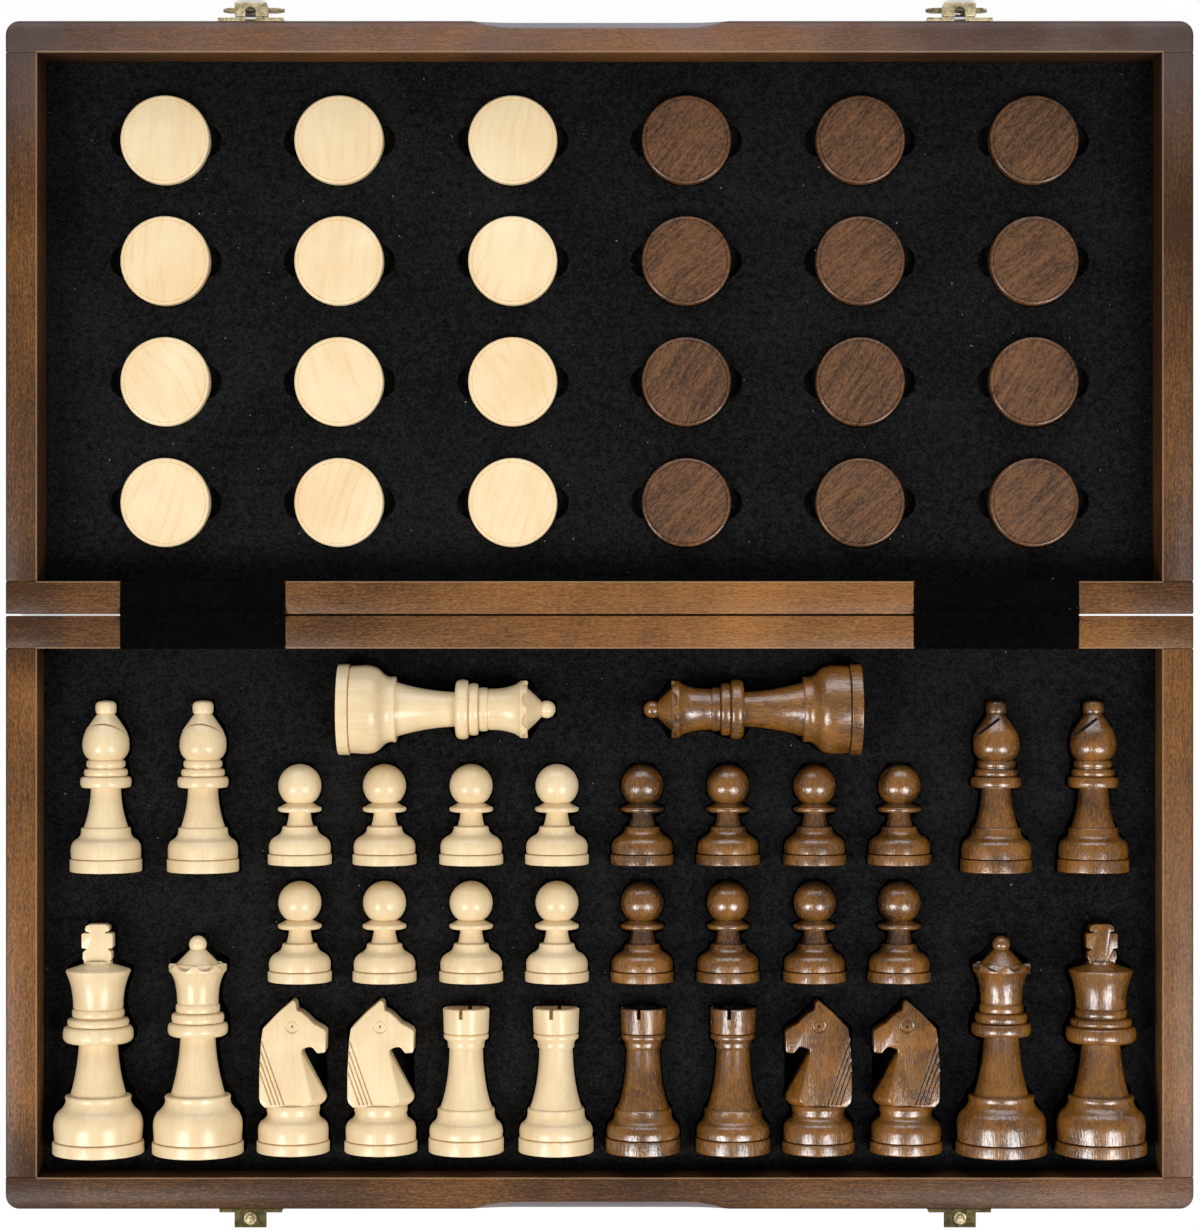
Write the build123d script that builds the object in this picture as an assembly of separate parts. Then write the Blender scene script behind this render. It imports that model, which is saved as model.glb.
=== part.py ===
"""Folding wooden board for chess and checkers, opened flat with the insides up.

Two hinged trays: the base (-Y) holds the chess men, the lid (+Y) holds the checkers. Their
undersides together are the playing board. Millimetres; the origin is on the ground under the
middle of the fold, +X runs along the fold and +Z is up. The 58 pieces and the small fittings
are turned with flat facets, so that the whole set stays light.
"""

import os
from math import hypot

from build123d import *

# Overall sizes of the wooden board
BOARD_LENGTH = 381.0
FOLD_GAP = 0.6
TRAY_HEIGHT = 27.0
RAIL_WIDTH = 10.0
SPINE_WIDTH = 10.5
CORNER_RADIUS = 4.4
SEAM_GAP = 0.3

# Layers of the closed underside, which is the playing face
VENEER = 0.6
STEEL_SHEET = 0.5
PANEL_THICKNESS = 4.4
BORDER_WIDTH = 22.5
SQUARES_ACROSS = 8
ROWS_IN_HALF = 4

# Finger scoop in the top edge of both front rails
SCOOP_LENGTH = 91.0
SCOOP_FLAT = 54.0
SCOOP_DEPTH = 4.2
SCOOP_HEIGHT = 5.0

# Foam inserts and how the pieces lie in them
CHESS_FOAM = 9.4
CHECKER_FOAM = 4.5
FOAM_FIT = 0.2
POCKET_SKIN = 1.0
POCKET_FIT = 0.8
REST_GAP = 0.3

# Hinges, let into the spine rails under their felt covers
HINGE_INSET = 63.2
COVER_WIDTH = 53.0
COVER_THICKNESS = 0.8
COVER_FIT = 0.3
LEAF_SIDE_ROOM = 1.0
LEAF_BACK_ROOM = 1.5
LEAF_THICKNESS = 1.0
LEAF_DROP = 1.0
LEAF_SETBACK = 1.6
BARREL_RADIUS = 1.25
PIN_RADIUS = 0.5
PIN_FIT = 0.05
KNUCKLE_GAP = 0.3
MIDDLE_KNUCKLE = 24.0
HINGE_SCREW_X = 17.0
HINGE_SCREW_LENGTH = 8.0

# Catches on the base and latches on the lid, placed as in the photograph
LEFT_LATCH_INSET = 78.5
RIGHT_LATCH_INSET = 74.9
PLATE_THICKNESS = 1.2
PLATE_HEIGHT = 12.0
CATCH_PLATE_WIDTH = 20.0
LATCH_PLATE_WIDTH = 21.0
TAB_WIDTH = 10.2
TAB_REACH = 6.0
TAB_THICKNESS = 1.2
TAB_DROP = 0.2
PLATE_SCREW_X = 7.8
PLATE_SCREW_DROP = 6.5
PLATE_SCREW_LENGTH = 7.0

# Ball stud on the catch tab and the arched slot that takes it
STUD_REACH = 3.0
COLLAR_RADIUS = 2.0
COLLAR_HEIGHT = 0.5
BALL_NECK = 1.0
BALL_RADIUS = 1.5
BALL_HEIGHT = 2.5
STUD_CLEARANCE = 0.2

# Thumb lever of the latch, which tilts on a pin between two ears
LEVER_STANDOFF = 0.3
LEVER_WALL = 1.2
CHEEK_THICKNESS = 0.8
CHEEK_SETBACK = 0.8
CHEEK_DEPTH = 8.0
THUMB_WIDTH = 19.9
THUMB_TOP = 9.0
THUMB_HEIGHT = 4.0
THUMB_CORNER = 1.9
PIVOT_REACH = 3.4
PIVOT_DROP = 6.0
PIVOT_RADIUS = 0.6
EAR_RADIUS = 1.1
EAR_THICKNESS = 1.0
EAR_GAP = 0.2
SPRING_RADIUS = 1.0

# Screws, all countersunk
SCREW_HEAD = 1.6
SCREW_CORE = 0.75
SCREW_TIP = 0.3

# Magnets let into the undersides of the pieces
MAGNET_SIDE = 5.0
MAGNET_THICKNESS = 2.2

# Checkers
CHECKER_RADIUS = 14.5
CHECKER_HEIGHT = 6.4
CHECKER_INSET_X = 39.0
CHECKER_INSET_Y = 25.8
CHECKER_ROWS = 4
CHECKER_COLUMNS = 3
FINGER_ROOM = 3.9
FINGER_WIDTH = 11.0

# Places of the chess men in their tray; the gaps are shares of the free depth, from the fold,
# and the columns are shares of the inner half width, from the middle
ROW_GAPS = (0.19, 0.12, 0.21, 0.21)
SPARE_TIP_X = 14.2
ROOK_COLUMNS = (0.078, 0.239)
KNIGHT_COLUMNS = (0.392, 0.549)
QUEEN_COLUMN = 0.718
KING_COLUMN = 0.896
BISHOP_COLUMNS = (0.711, 0.885)
PAWN_COLUMNS = (0.0765, 0.2305, 0.386, 0.538)

# Flat facets around each kind of round piece
SCREW_SIDES = 6
SMALL_SIDES = 8
PAWN_SIDES = 8
MAN_SIDES = 12
CHECKER_SIDES = 16

# Turned outlines of the men as (radius, height), read up from the underside, for this square
MEN_SQUARE = 42.0
PAWN_OUTLINE = [
    (10.4, 0), (10.2, 6.2), (5.6, 11.0), (3.6, 16.8), (7.1, 17.8), (4.2, 19.8), (7.0, 25.6),
    (4.0, 32.4),
]
ROOK_OUTLINE = [
    (12.1, 0), (11.9, 7.0), (8.6, 13.6), (5.4, 26.0), (5.4, 33.8), (7.3, 37.4), (7.5, 46.4),
]
BISHOP_OUTLINE = [
    (11.6, 0), (11.3, 7.4), (7.6, 13.4), (4.8, 26.9), (8.2, 28.4), (6.2, 34.6), (7.5, 41.0),
    (3.2, 50.9), (3.6, 53.2), (1.8, 55.4),
]
QUEEN_OUTLINE = [
    (14.7, 0), (14.3, 8.6), (9.6, 17.6), (5.6, 37.7), (9.6, 39.8), (7.0, 46.4), (9.3, 59.6),
    (9.0, 61.0), (2.8, 65.6), (2.0, 70.0),
]
KING_OUTLINE = [
    (14.7, 0), (14.3, 8.2), (9.8, 17.4), (6.2, 35.3), (11.2, 38.0), (8.1, 45.6), (10.4, 59.0),
    (4.6, 61.6),
]
KNIGHT_FOOT_OUTLINE = [(11.8, 0), (11.4, 7.2), (8.4, 12.4), (8.6, 15.0)]

# King's cross, seen from the front
CROSS_LOWER = 9.2
CROSS_ARMS = 10.1
CROSS_TOP = 8.2
CROSS_NECK = 5.4
CROSS_THICKNESS = 5.0
CROSS_HEIGHT = 12.2
CROSS_SINK = 1.1
# Shares of its height at the notches and the ends of the arms
CROSS_LEVELS = (0.36, 0.42, 0.72, 0.78)

# Saw cuts of the rook's battlements and the bishop's mitre
BATTLEMENT_WIDTH = 1.8
BATTLEMENT_DEPTH = 3.0
BATTLEMENT_TURN = 15
TURRET_BORE = 4.6
MITRE_WIDTH = 1.1
MITRE_HEIGHT = 45.4
MITRE_TILT = 40

# Knight's head as (forward, height), and how it thins towards the ears
KNIGHT_HEAD = [
    (-8.4, 15.0), (-10.6, 18.0), (-10.7, 26.4), (-9.8, 40.0), (0.4, 49.4), (1.4, 45.8),
    (4.9, 43.9), (10.9, 39.4), (11.0, 31.7), (7.6, 32.6), (3.2, 32.6), (10.9, 17.6), (8.6, 15.0),
]
KNIGHT_FOOT_THICKNESS = 15.0
KNIGHT_EAR_THICKNESS = 9.0

# What follows from the sizes above
HALF_LENGTH = BOARD_LENGTH / 2
FOLD_Y = FOLD_GAP / 2
OUTER_Y = HALF_LENGTH
SQUARE = (BOARD_LENGTH - 2 * BORDER_WIDTH) / SQUARES_ACROSS
SPINE_INNER_Y = FOLD_Y + SPINE_WIDTH
FRONT_INNER_Y = OUTER_Y - RAIL_WIDTH
INNER_X = HALF_LENGTH - RAIL_WIDTH
PANEL_TOP = VENEER + PANEL_THICKNESS
SQUARES_X = SQUARE * SQUARES_ACROSS / 2
SQUARES_Y = FOLD_Y + SQUARE * ROWS_IN_HALF
AXIS_Z = TRAY_HEIGHT + SEAM_GAP / 2
LEAF_TOP = AXIS_Z - LEAF_DROP
LEAF_BOTTOM = LEAF_TOP - LEAF_THICKNESS
LEAF_WIDTH = COVER_WIDTH - 2 * LEAF_SIDE_ROOM
LEAF_BACK = SPINE_INNER_Y - LEAF_BACK_ROOM
HINGE_X = HALF_LENGTH - HINGE_INSET
LEFT_LATCH_X = LEFT_LATCH_INSET - HALF_LENGTH
RIGHT_LATCH_X = HALF_LENGTH - RIGHT_LATCH_INSET
POCKET_FLOOR = PANEL_TOP + POCKET_SKIN
FINGER_REACH = CHECKER_RADIUS + FINGER_ROOM
MAN_SIZE = SQUARE / MEN_SQUARE
KING_HEIGHT = KING_OUTLINE[-1][1] + CROSS_HEIGHT
EAR_HEIGHT = max(z for _, z in KNIGHT_HEAD)
STUD_HEIGHT = COLLAR_HEIGHT + BALL_HEIGHT
OVERRUN = 1.0

# Half outlines of the whole men at their size on this board, with what stands on the turned part
DRAWN = {
    "rook": ROOK_OUTLINE,
    "knight": KNIGHT_FOOT_OUTLINE + [(abs(x), z) for x, z in KNIGHT_HEAD],
    "queen": QUEEN_OUTLINE,
    "king": KING_OUTLINE + [(CROSS_TOP / 2, KING_HEIGHT)],
    "bishop": BISHOP_OUTLINE,
    "pawn": PAWN_OUTLINE,
}
SILHOUETTES = {
    name: [(radius * MAN_SIZE, z * MAN_SIZE) for radius, z in outline]
    for name, outline in DRAWN.items()
}
FOOT = {name: outline[0][0] for name, outline in SILHOUETTES.items()}
HEIGHT = {name: max(z for _, z in outline) for name, outline in SILHOUETTES.items()}


def block(x_span, y_span, z_span):
    """Upright box between two corners, given as (low, high) along each axis."""
    spans = (x_span, y_span, z_span)
    centre = [(low + high) / 2 for low, high in spans]
    return Pos(*centre) * Box(*[high - low for low, high in spans])


def centred(width):
    """Span of a width about zero."""
    return (-width / 2, width / 2)


def lid_side(shapes):
    """The same solids on the lid's side of the fold."""
    return [mirror(shape, about=Plane.XZ) for shape in shapes]


def right_side(shapes):
    """The same solids on the right of the board."""
    return [mirror(shape, about=Plane.YZ) for shape in shapes]


def turned(outline, sides=MAN_SIDES):
    """Solid turned about Z from (radius, height) points, with flat facets around it."""
    turns = [360 * step / sides for step in range(sides)]
    rings = [[Vector(r, 0, z).rotate(Axis.Z, turn) for turn in turns] for r, z in outline]
    walls = [
        Face(Wire.make_polygon([low[step - 1], low[step], high[step], high[step - 1]]))
        for low, high in zip(rings, rings[1:])
        for step in range(sides)
    ]
    ends = [Face(Wire.make_polygon(ring)) for ring in (rings[0], rings[-1])]
    return Solid(Shell(walls + ends))


def rod_along_x(radius, length):
    """Faceted rod lying along X, centred on the origin, with this radius over its edges."""
    return Rot(0, 90, 0) * extrude(RegularPolygon(radius, SMALL_SIDES), length / 2, both=True)


def bore_along_x(radius, length):
    """Cutter for a hole in which a rod of this radius is free to turn, whatever its facets do."""
    outline = RegularPolygon(radius + PIN_FIT, SMALL_SIDES, major_radius=False)
    return Rot(0, 90, 0) * extrude(outline, length / 2, both=True)


def write(name, shapes):
    """Save one node from a list of separate solids."""
    solids = [solid for shape in shapes for solid in shape.solids()]
    export_step(Compound(children=solids) if len(solids) > 1 else solids[0], f"parts/{name}.step")


# Wooden trays


def half_slab(low, high):
    """Full outline of the base half between two heights, with its two outer corners rounded."""
    slab = block(centred(BOARD_LENGTH), (-OUTER_Y, -FOLD_Y), (low, high))
    return fillet(slab.edges().filter_by(Axis.Z).sort_by(Axis.Y)[:2], CORNER_RADIUS)


def finger_scoop():
    """Cutter of the finger hold: a flat with an arc running out at each end, slanting outwards."""
    slope = SCOOP_DEPTH / SCOOP_HEIGHT
    wall = -OUTER_Y + slope * OVERRUN
    flat = wall + SCOOP_DEPTH
    outside = wall - SCOOP_DEPTH - 2 * OVERRUN
    near, far = SCOOP_FLAT / 2, SCOOP_LENGTH / 2
    outline = [
        Line((-near, flat), (near, flat)),
        TangentArc((near, flat), (far, wall), tangent=(1, 0)),
        Line((far, wall), (far, outside)),
        Line((far, outside), (-far, outside)),
        Line((-far, outside), (-far, wall)),
        TangentArc((-near, flat), (-far, wall), tangent=(-1, 0)),
    ]
    face = Pos(0, 0, TRAY_HEIGHT + OVERRUN) * make_face(outline)
    slant = hypot(1, slope) * (SCOOP_HEIGHT + OVERRUN)
    return extrude(face, amount=slant, dir=(0, -slope, -1))


def front_rail():
    """Outer long rail, the full length of the box, with the finger scoop."""
    strip = block(centred(BOARD_LENGTH), (-OUTER_Y, -FRONT_INNER_Y), (PANEL_TOP, TRAY_HEIGHT))
    return (half_slab(PANEL_TOP, TRAY_HEIGHT) & strip) - finger_scoop()


def spine_rail():
    """Rail beside the fold, with a recess for each hinge."""
    rail = block(centred(BOARD_LENGTH), (-SPINE_INNER_Y, -FOLD_Y), (PANEL_TOP, TRAY_HEIGHT))
    for x in (-HINGE_X, HINGE_X):
        across = (x - COVER_WIDTH / 2, x + COVER_WIDTH / 2)
        rail -= block(across, (-SPINE_INNER_Y, -FOLD_Y), (LEAF_BOTTOM, TRAY_HEIGHT))
    return rail


def left_rail():
    """Short rail on the left, between the two long ones."""
    across = (-HALF_LENGTH, -INNER_X)
    return block(across, (-FRONT_INNER_Y, -SPINE_INNER_Y), (PANEL_TOP, TRAY_HEIGHT))


def panel():
    """Plywood that closes the tray, with a shallow recess underneath for the steel sheet."""
    return half_slab(VENEER, PANEL_TOP) - steel_sheet()


def steel_sheet():
    """Sheet under the squares that the magnets hold to."""
    return block(centred(2 * SQUARES_X), (-SQUARES_Y, -FOLD_Y), (VENEER, VENEER + STEEL_SHEET))


def border():
    """Veneer border on three sides of the squares."""
    return half_slab(0, VENEER) - block(centred(2 * SQUARES_X), (-SQUARES_Y, -FOLD_Y), (0, VENEER))


def squares(light):
    """Veneer squares of one colour in the base half; a light one lies at each player's right."""
    tiles = []
    for column in range(SQUARES_ACROSS):
        for row in range(ROWS_IN_HALF):
            if ((column + row) % 2 == 0) == light:
                left = -SQUARES_X + column * SQUARE
                front = -SQUARES_Y + row * SQUARE
                tiles.append(block((left, left + SQUARE), (front, front + SQUARE), (0, VENEER)))
    return tiles


# Fasteners and hinges


def screw(length, head_height):
    """Countersunk screw pointing down, with the flat of its head at the origin."""
    outline = [(SCREW_TIP, -length), (SCREW_CORE, -head_height), (SCREW_HEAD, 0)]
    return turned(outline, SCREW_SIDES)


def knuckle_spans(of_lid):
    """Stretches of the barrel along X, from the hinge's middle, that belong to one leaf."""
    middle = MIDDLE_KNUCKLE / 2
    if of_lid:
        return [(-middle, middle)]
    near, far = middle + KNUCKLE_GAP, LEAF_WIDTH / 2
    return [(-far, -near), (near, far)]


def hinge_screw_places(x):
    """Where the two screws of a base leaf stand."""
    y = -(LEAF_SETBACK + LEAF_BACK) / 2
    return [Pos(x + side * HINGE_SCREW_X, y, LEAF_TOP) for side in (-1, 1)]


def hinge_leaf(x, of_lid):
    """One leaf with its knuckles, drawn on the base side of the fold."""
    along = (-LEAF_BACK, -LEAF_SETBACK)
    leaf = block(centred(LEAF_WIDTH), along, (LEAF_BOTTOM, LEAF_TOP))
    for low, high in knuckle_spans(of_lid):
        leaf += block((low, high), (-LEAF_SETBACK, 0), (LEAF_BOTTOM, LEAF_TOP))
        leaf += Pos((low + high) / 2, 0, AXIS_Z) * rod_along_x(BARREL_RADIUS, high - low)
    bore = bore_along_x if of_lid else rod_along_x
    leaf -= Pos(0, 0, AXIS_Z) * bore(PIN_RADIUS, LEAF_WIDTH)
    for place in hinge_screw_places(0):
        leaf -= place * screw(HINGE_SCREW_LENGTH, LEAF_THICKNESS)
    return Pos(x, 0, 0) * leaf


def hinge_screws():
    """Screws of both base leaves."""
    places = [place for x in (-HINGE_X, HINGE_X) for place in hinge_screw_places(x)]
    return [place * screw(HINGE_SCREW_LENGTH, LEAF_THICKNESS) for place in places]


def hinge_pin(x):
    """Pin through all the knuckles of one hinge."""
    return Pos(x, 0, AXIS_Z) * rod_along_x(PIN_RADIUS, LEAF_WIDTH)


def hinge_covers():
    """Base halves of the two felt strips, lying on the leaves up to the barrels."""
    reach = COVER_WIDTH / 2 - COVER_FIT
    along = (-SPINE_INNER_Y, -LEAF_SETBACK - COVER_FIT)
    felt = (LEAF_TOP, LEAF_TOP + COVER_THICKNESS)
    return [block((x - reach, x + reach), along, felt) for x in (-HINGE_X, HINGE_X)]


# Catches and latches, drawn on the base's outer wall around x = 0


def outward(near, far):
    """Span along Y from near to far outside the outer wall."""
    return (-OUTER_Y - far, -OUTER_Y - near)


def below_rim(top, bottom):
    """Span along Z from top to bottom below the rim."""
    return (TRAY_HEIGHT - bottom, TRAY_HEIGHT - top)


def plate_screws():
    """The two screws through a catch or latch plate."""
    y = -OUTER_Y - PLATE_THICKNESS
    z = TRAY_HEIGHT - TAB_DROP - PLATE_SCREW_DROP
    upright = Rot(90, 0, 0) * screw(PLATE_SCREW_LENGTH, PLATE_THICKNESS)
    return [Pos(side * PLATE_SCREW_X, y, z) * upright for side in (-1, 1)]


def wall_plate(width):
    """Plate on the outer wall, drilled for its screws."""
    drop = below_rim(TAB_DROP, TAB_DROP + PLATE_HEIGHT)
    plate = block(centred(width), outward(0, PLATE_THICKNESS), drop)
    for fastener in plate_screws():
        plate -= fastener
    return plate


def catch_plate():
    """Catch: the plate with a tab that carries the ball stud."""
    tab_drop = below_rim(TAB_DROP, TAB_DROP + TAB_THICKNESS)
    return wall_plate(CATCH_PLATE_WIDTH) + block(centred(TAB_WIDTH), outward(0, TAB_REACH), tab_drop)


def ball_stud():
    """Turned stud on the catch tab."""
    outline = [
        (COLLAR_RADIUS, 0), (COLLAR_RADIUS, COLLAR_HEIGHT), (BALL_NECK, COLLAR_HEIGHT),
        (BALL_RADIUS, STUD_HEIGHT - BALL_HEIGHT / 2), (BALL_NECK, STUD_HEIGHT),
    ]
    top = TRAY_HEIGHT - TAB_DROP
    return Pos(0, -OUTER_Y - STUD_REACH, top) * turned(outline, SMALL_SIDES)


def arched_slot():
    """Cutter of the slot that takes the stud, open at the wall and arched at its outer end."""
    low, high = below_rim(0, STUD_HEIGHT + 2 * TAB_DROP + SEAM_GAP)
    half_width = BALL_RADIUS + STUD_CLEARANCE
    straight = block(centred(2 * half_width), outward(0, STUD_REACH), (low, high))
    arch = extrude(RegularPolygon(half_width, SMALL_SIDES, major_radius=False), high - low)
    corner_up = Rot(0, 0, 180 / SMALL_SIDES)
    return straight + Pos(0, -OUTER_Y - STUD_REACH, low) * corner_up * arch


def at_pivot(shape):
    """A shape drawn about the origin, moved to the lever's pivot."""
    return Pos(0, -OUTER_Y - PIVOT_REACH, TRAY_HEIGHT - PIVOT_DROP) * shape


def cheek_span(side):
    """Where one cheek of the lever lies along X."""
    return sorted((side * TAB_WIDTH / 2, side * (TAB_WIDTH / 2 - CHEEK_THICKNESS)))


def ear_span(side):
    """Where one ear of the plate lies along X, just inside the cheek."""
    far = TAB_WIDTH / 2 - CHEEK_THICKNESS - EAR_GAP
    return sorted((side * far, side * (far - EAR_THICKNESS)))


def latch_plate():
    """Latch plate with its slot and two ears for the pivot pin."""
    plate = wall_plate(LATCH_PLATE_WIDTH) - arched_slot()
    drop = below_rim(PIVOT_DROP - EAR_RADIUS, PIVOT_DROP + EAR_RADIUS)
    for side in (-1, 1):
        low, high = ear_span(side)
        plate += block((low, high), outward(PLATE_THICKNESS, PIVOT_REACH), drop)
        plate += at_pivot(Pos((low + high) / 2, 0, 0) * rod_along_x(EAR_RADIUS, EAR_THICKNESS))
    return plate - at_pivot(rod_along_x(PIVOT_RADIUS, TAB_WIDTH))


def thumb_lever():
    """Lever: slotted tab on top, front wall and cheeks, and the wide thumb bar at its foot."""
    back = PLATE_THICKNESS + LEVER_STANDOFF
    foot = THUMB_TOP + THUMB_HEIGHT
    wall = outward(TAB_REACH - LEVER_WALL, TAB_REACH)
    tab_bottom = TAB_DROP + TAB_THICKNESS
    lever = block(centred(TAB_WIDTH), outward(back, TAB_REACH), below_rim(TAB_DROP, tab_bottom))
    lever += block(centred(TAB_WIDTH), wall, below_rim(TAB_DROP, foot))
    bar = block(centred(THUMB_WIDTH), wall, below_rim(THUMB_TOP, foot))
    lever += chamfer(bar.edges().filter_by(Axis.Y), THUMB_CORNER)
    cheek = outward(PLATE_THICKNESS + CHEEK_SETBACK, TAB_REACH - LEVER_WALL)
    for side in (-1, 1):
        lever += block(cheek_span(side), cheek, below_rim(tab_bottom, CHEEK_DEPTH))
    return lever - arched_slot() - at_pivot(bore_along_x(PIVOT_RADIUS, TAB_WIDTH))


def pivot_pin():
    """Pin through the ears and the cheeks."""
    return at_pivot(rod_along_x(PIVOT_RADIUS, TAB_WIDTH))


def lever_spring():
    """Torsion spring on the pin between the ears, as a plain sleeve."""
    length = 2 * (ear_span(1)[0] - EAR_GAP)
    return at_pivot(rod_along_x(SPRING_RADIUS, length) - bore_along_x(PIVOT_RADIUS, length))


def both_latches(shapes):
    """Shapes drawn at x = 0, once at each latch."""
    return [Pos(x, 0, 0) * shape for x in (LEFT_LATCH_X, RIGHT_LATCH_X) for shape in shapes]


# Pieces of both games, standing on their undersides at the origin; men as drawn for MEN_SQUARE


def magnet():
    """Square magnet, flush with the underside of its piece."""
    return Pos(0, 0, MAGNET_THICKNESS / 2) * Box(MAGNET_SIDE, MAGNET_SIDE, MAGNET_THICKNESS)


def pawn():
    """Pawn: moulded foot, thin collar and ball."""
    return turned(PAWN_OUTLINE, PAWN_SIDES)


def rook():
    """Rook: hollow turret crossed by two saw cuts."""
    top = ROOK_OUTLINE[-1][1]
    floor = Pos(0, 0, top - BATTLEMENT_DEPTH) * Rot(0, 0, BATTLEMENT_TURN)
    well = extrude(RegularPolygon(TURRET_BORE, SMALL_SIDES), BATTLEMENT_DEPTH)
    across = 2 * ROOK_OUTLINE[-1][0]
    saw = block(centred(across), centred(BATTLEMENT_WIDTH), (0, BATTLEMENT_DEPTH))
    return turned(ROOK_OUTLINE) - floor * well - floor * saw - floor * Rot(0, 0, 90) * saw


def bishop():
    """Bishop: pointed head with a slanting saw cut."""
    reach = 2 * BISHOP_OUTLINE[0][0]
    saw = block((-reach, 0), centred(reach), centred(MITRE_WIDTH))
    return turned(BISHOP_OUTLINE) - Pos(0, 0, MITRE_HEIGHT) * Rot(0, MITRE_TILT, 0) * saw


def queen():
    """Queen: flared crown, cone and bead."""
    return turned(QUEEN_OUTLINE)


def king_cross():
    """Three broad lobes with notches between them, cut from a flat piece."""
    foot, head = KING_OUTLINE[-1][1] - CROSS_SINK, KING_HEIGHT
    lower_notch, arm_foot, arm_head, upper_notch = [
        foot + level * (head - foot) for level in CROSS_LEVELS
    ]
    right = [
        (CROSS_LOWER / 2, foot),
        (CROSS_NECK / 2, lower_notch),
        (CROSS_ARMS / 2, arm_foot),
        (CROSS_ARMS / 2, arm_head),
        (CROSS_NECK / 2, upper_notch),
        (CROSS_TOP / 2, head),
    ]
    left = [(-x, z) for x, z in reversed(right)]
    face = Plane.XZ * make_face(Polyline(*right, *left, close=True))
    return extrude(face, CROSS_THICKNESS / 2, both=True)


def king():
    """King: crown and shoulder with a broad cross on top."""
    return turned(KING_OUTLINE) + king_cross()


def knight():
    """Knight: turned foot and a flat-cut horse's head that thins towards the ears."""
    profile = Plane.XZ * make_face(Polyline(*KNIGHT_HEAD, close=True))
    head = extrude(profile, KNIGHT_FOOT_THICKNESS, both=True)
    low = KNIGHT_FOOT_OUTLINE[-1][1]
    thick, thin = KNIGHT_FOOT_THICKNESS / 2, KNIGHT_EAR_THICKNESS / 2
    wedge = [(-thick, low), (thick, low), (thin, EAR_HEIGHT), (-thin, EAR_HEIGHT)]
    reach = KNIGHT_FOOT_OUTLINE[0][0]
    taper = extrude(Plane.YZ * make_face(Polyline(*wedge, close=True)), reach, both=True)
    return turned(KNIGHT_FOOT_OUTLINE) + (head & taper)


def for_board(drawn):
    """A drawn man at its size on this board, with the hole for its magnet."""
    return scale(drawn, by=MAN_SIZE) - magnet()


def checker():
    """Plain disc."""
    return extrude(RegularPolygon(CHECKER_RADIUS, CHECKER_SIDES), CHECKER_HEIGHT) - magnet()


# Where the pieces lie, as (x, y, turn about Z) on the left of the board


def row_of_men(columns, foot_y):
    """Spots of men that stand side by side on one line."""
    return [(-share * INNER_X, foot_y, 0) for share in columns]


def light_spots():
    """Feet of the light men; a spare queen lies crosswise near the fold."""
    depths = (2 * FOOT["queen"], HEIGHT["pawn"], HEIGHT["pawn"], HEIGHT["knight"])
    free_depth = FRONT_INNER_Y - SPINE_INNER_Y - sum(depths)
    feet, y = [], -SPINE_INNER_Y
    for share, depth in zip(ROW_GAPS, depths):
        y -= share * free_depth + depth
        feet.append(y)
    spare_row, first_row, second_row, back_row = feet
    bishop_row = (back_row + HEIGHT["king"] - SPINE_INNER_Y - HEIGHT["bishop"]) / 2
    spare = (-SPARE_TIP_X - HEIGHT["queen"], spare_row + FOOT["queen"], -90)
    return {
        "rook": row_of_men(ROOK_COLUMNS, back_row),
        "knight": row_of_men(KNIGHT_COLUMNS, back_row),
        "queen": [*row_of_men([QUEEN_COLUMN], back_row), spare],
        "king": row_of_men([KING_COLUMN], back_row),
        "bishop": row_of_men(BISHOP_COLUMNS, bishop_row),
        "pawn": row_of_men(PAWN_COLUMNS, first_row) + row_of_men(PAWN_COLUMNS, second_row),
    }


def lay(shape, name, spot):
    """A standing shape of the named man laid down in the man's pocket, with its foot at the spot."""
    x, y, turn = spot
    height = POCKET_FLOOR + REST_GAP + FOOT[name]
    return Pos(x, y, height) * Rot(0, 0, turn) * Rot(-90, 0, 0) * shape


def checker_spots():
    """Centres of the light checkers in the lid."""
    first, last = SPINE_INNER_Y + CHECKER_INSET_Y, FRONT_INNER_Y - CHECKER_INSET_Y
    step_x = (INNER_X - CHECKER_INSET_X) / (CHECKER_COLUMNS - 1 / 2)
    step_y = (last - first) / (CHECKER_ROWS - 1)
    rows = [first + row * step_y for row in range(CHECKER_ROWS)]
    columns = [-(column + 1 / 2) * step_x for column in range(CHECKER_COLUMNS)]
    return [(x, y) for x in columns for y in rows]


# Foam inserts


def foam_slab(thickness):
    """Plain foam insert of the base half, before its pockets are cut."""
    across = centred(2 * (INNER_X - FOAM_FIT))
    along = (-FRONT_INNER_Y + FOAM_FIT, -SPINE_INNER_Y - FOAM_FIT)
    return block(across, along, (PANEL_TOP, PANEL_TOP + thickness))


def pocket(outline, thickness):
    """Cutter of a straight-walled pocket, down to the skin of the foam."""
    face = Pos(0, 0, POCKET_FLOOR) * make_face(Polyline(*outline, close=True))
    return extrude(face, thickness - POCKET_SKIN)


def man_pocket(name):
    """Pocket outline around a lying man: straight beside its foot, then in to its head."""
    outline, height = SILHOUETTES[name], HEIGHT[name]
    head = max(radius for radius, z in outline if z > height / 2)
    right = [
        (FOOT[name] + POCKET_FIT, -POCKET_FIT),
        (FOOT[name] + POCKET_FIT, outline[1][1] + POCKET_FIT),
        (head + POCKET_FIT, height + POCKET_FIT),
    ]
    return right + [(-x, y) for x, y in reversed(right)]


def chess_foam():
    """Foam of the base tray with a pocket for each man."""
    cutters = [
        Pos(x, y, 0) * Rot(0, 0, turn) * pocket(man_pocket(name), CHESS_FOAM)
        for name, spots in light_spots().items()
        for x, y, turn in spots
    ]
    return foam_slab(CHESS_FOAM) - cutters - right_side(cutters)


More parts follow.
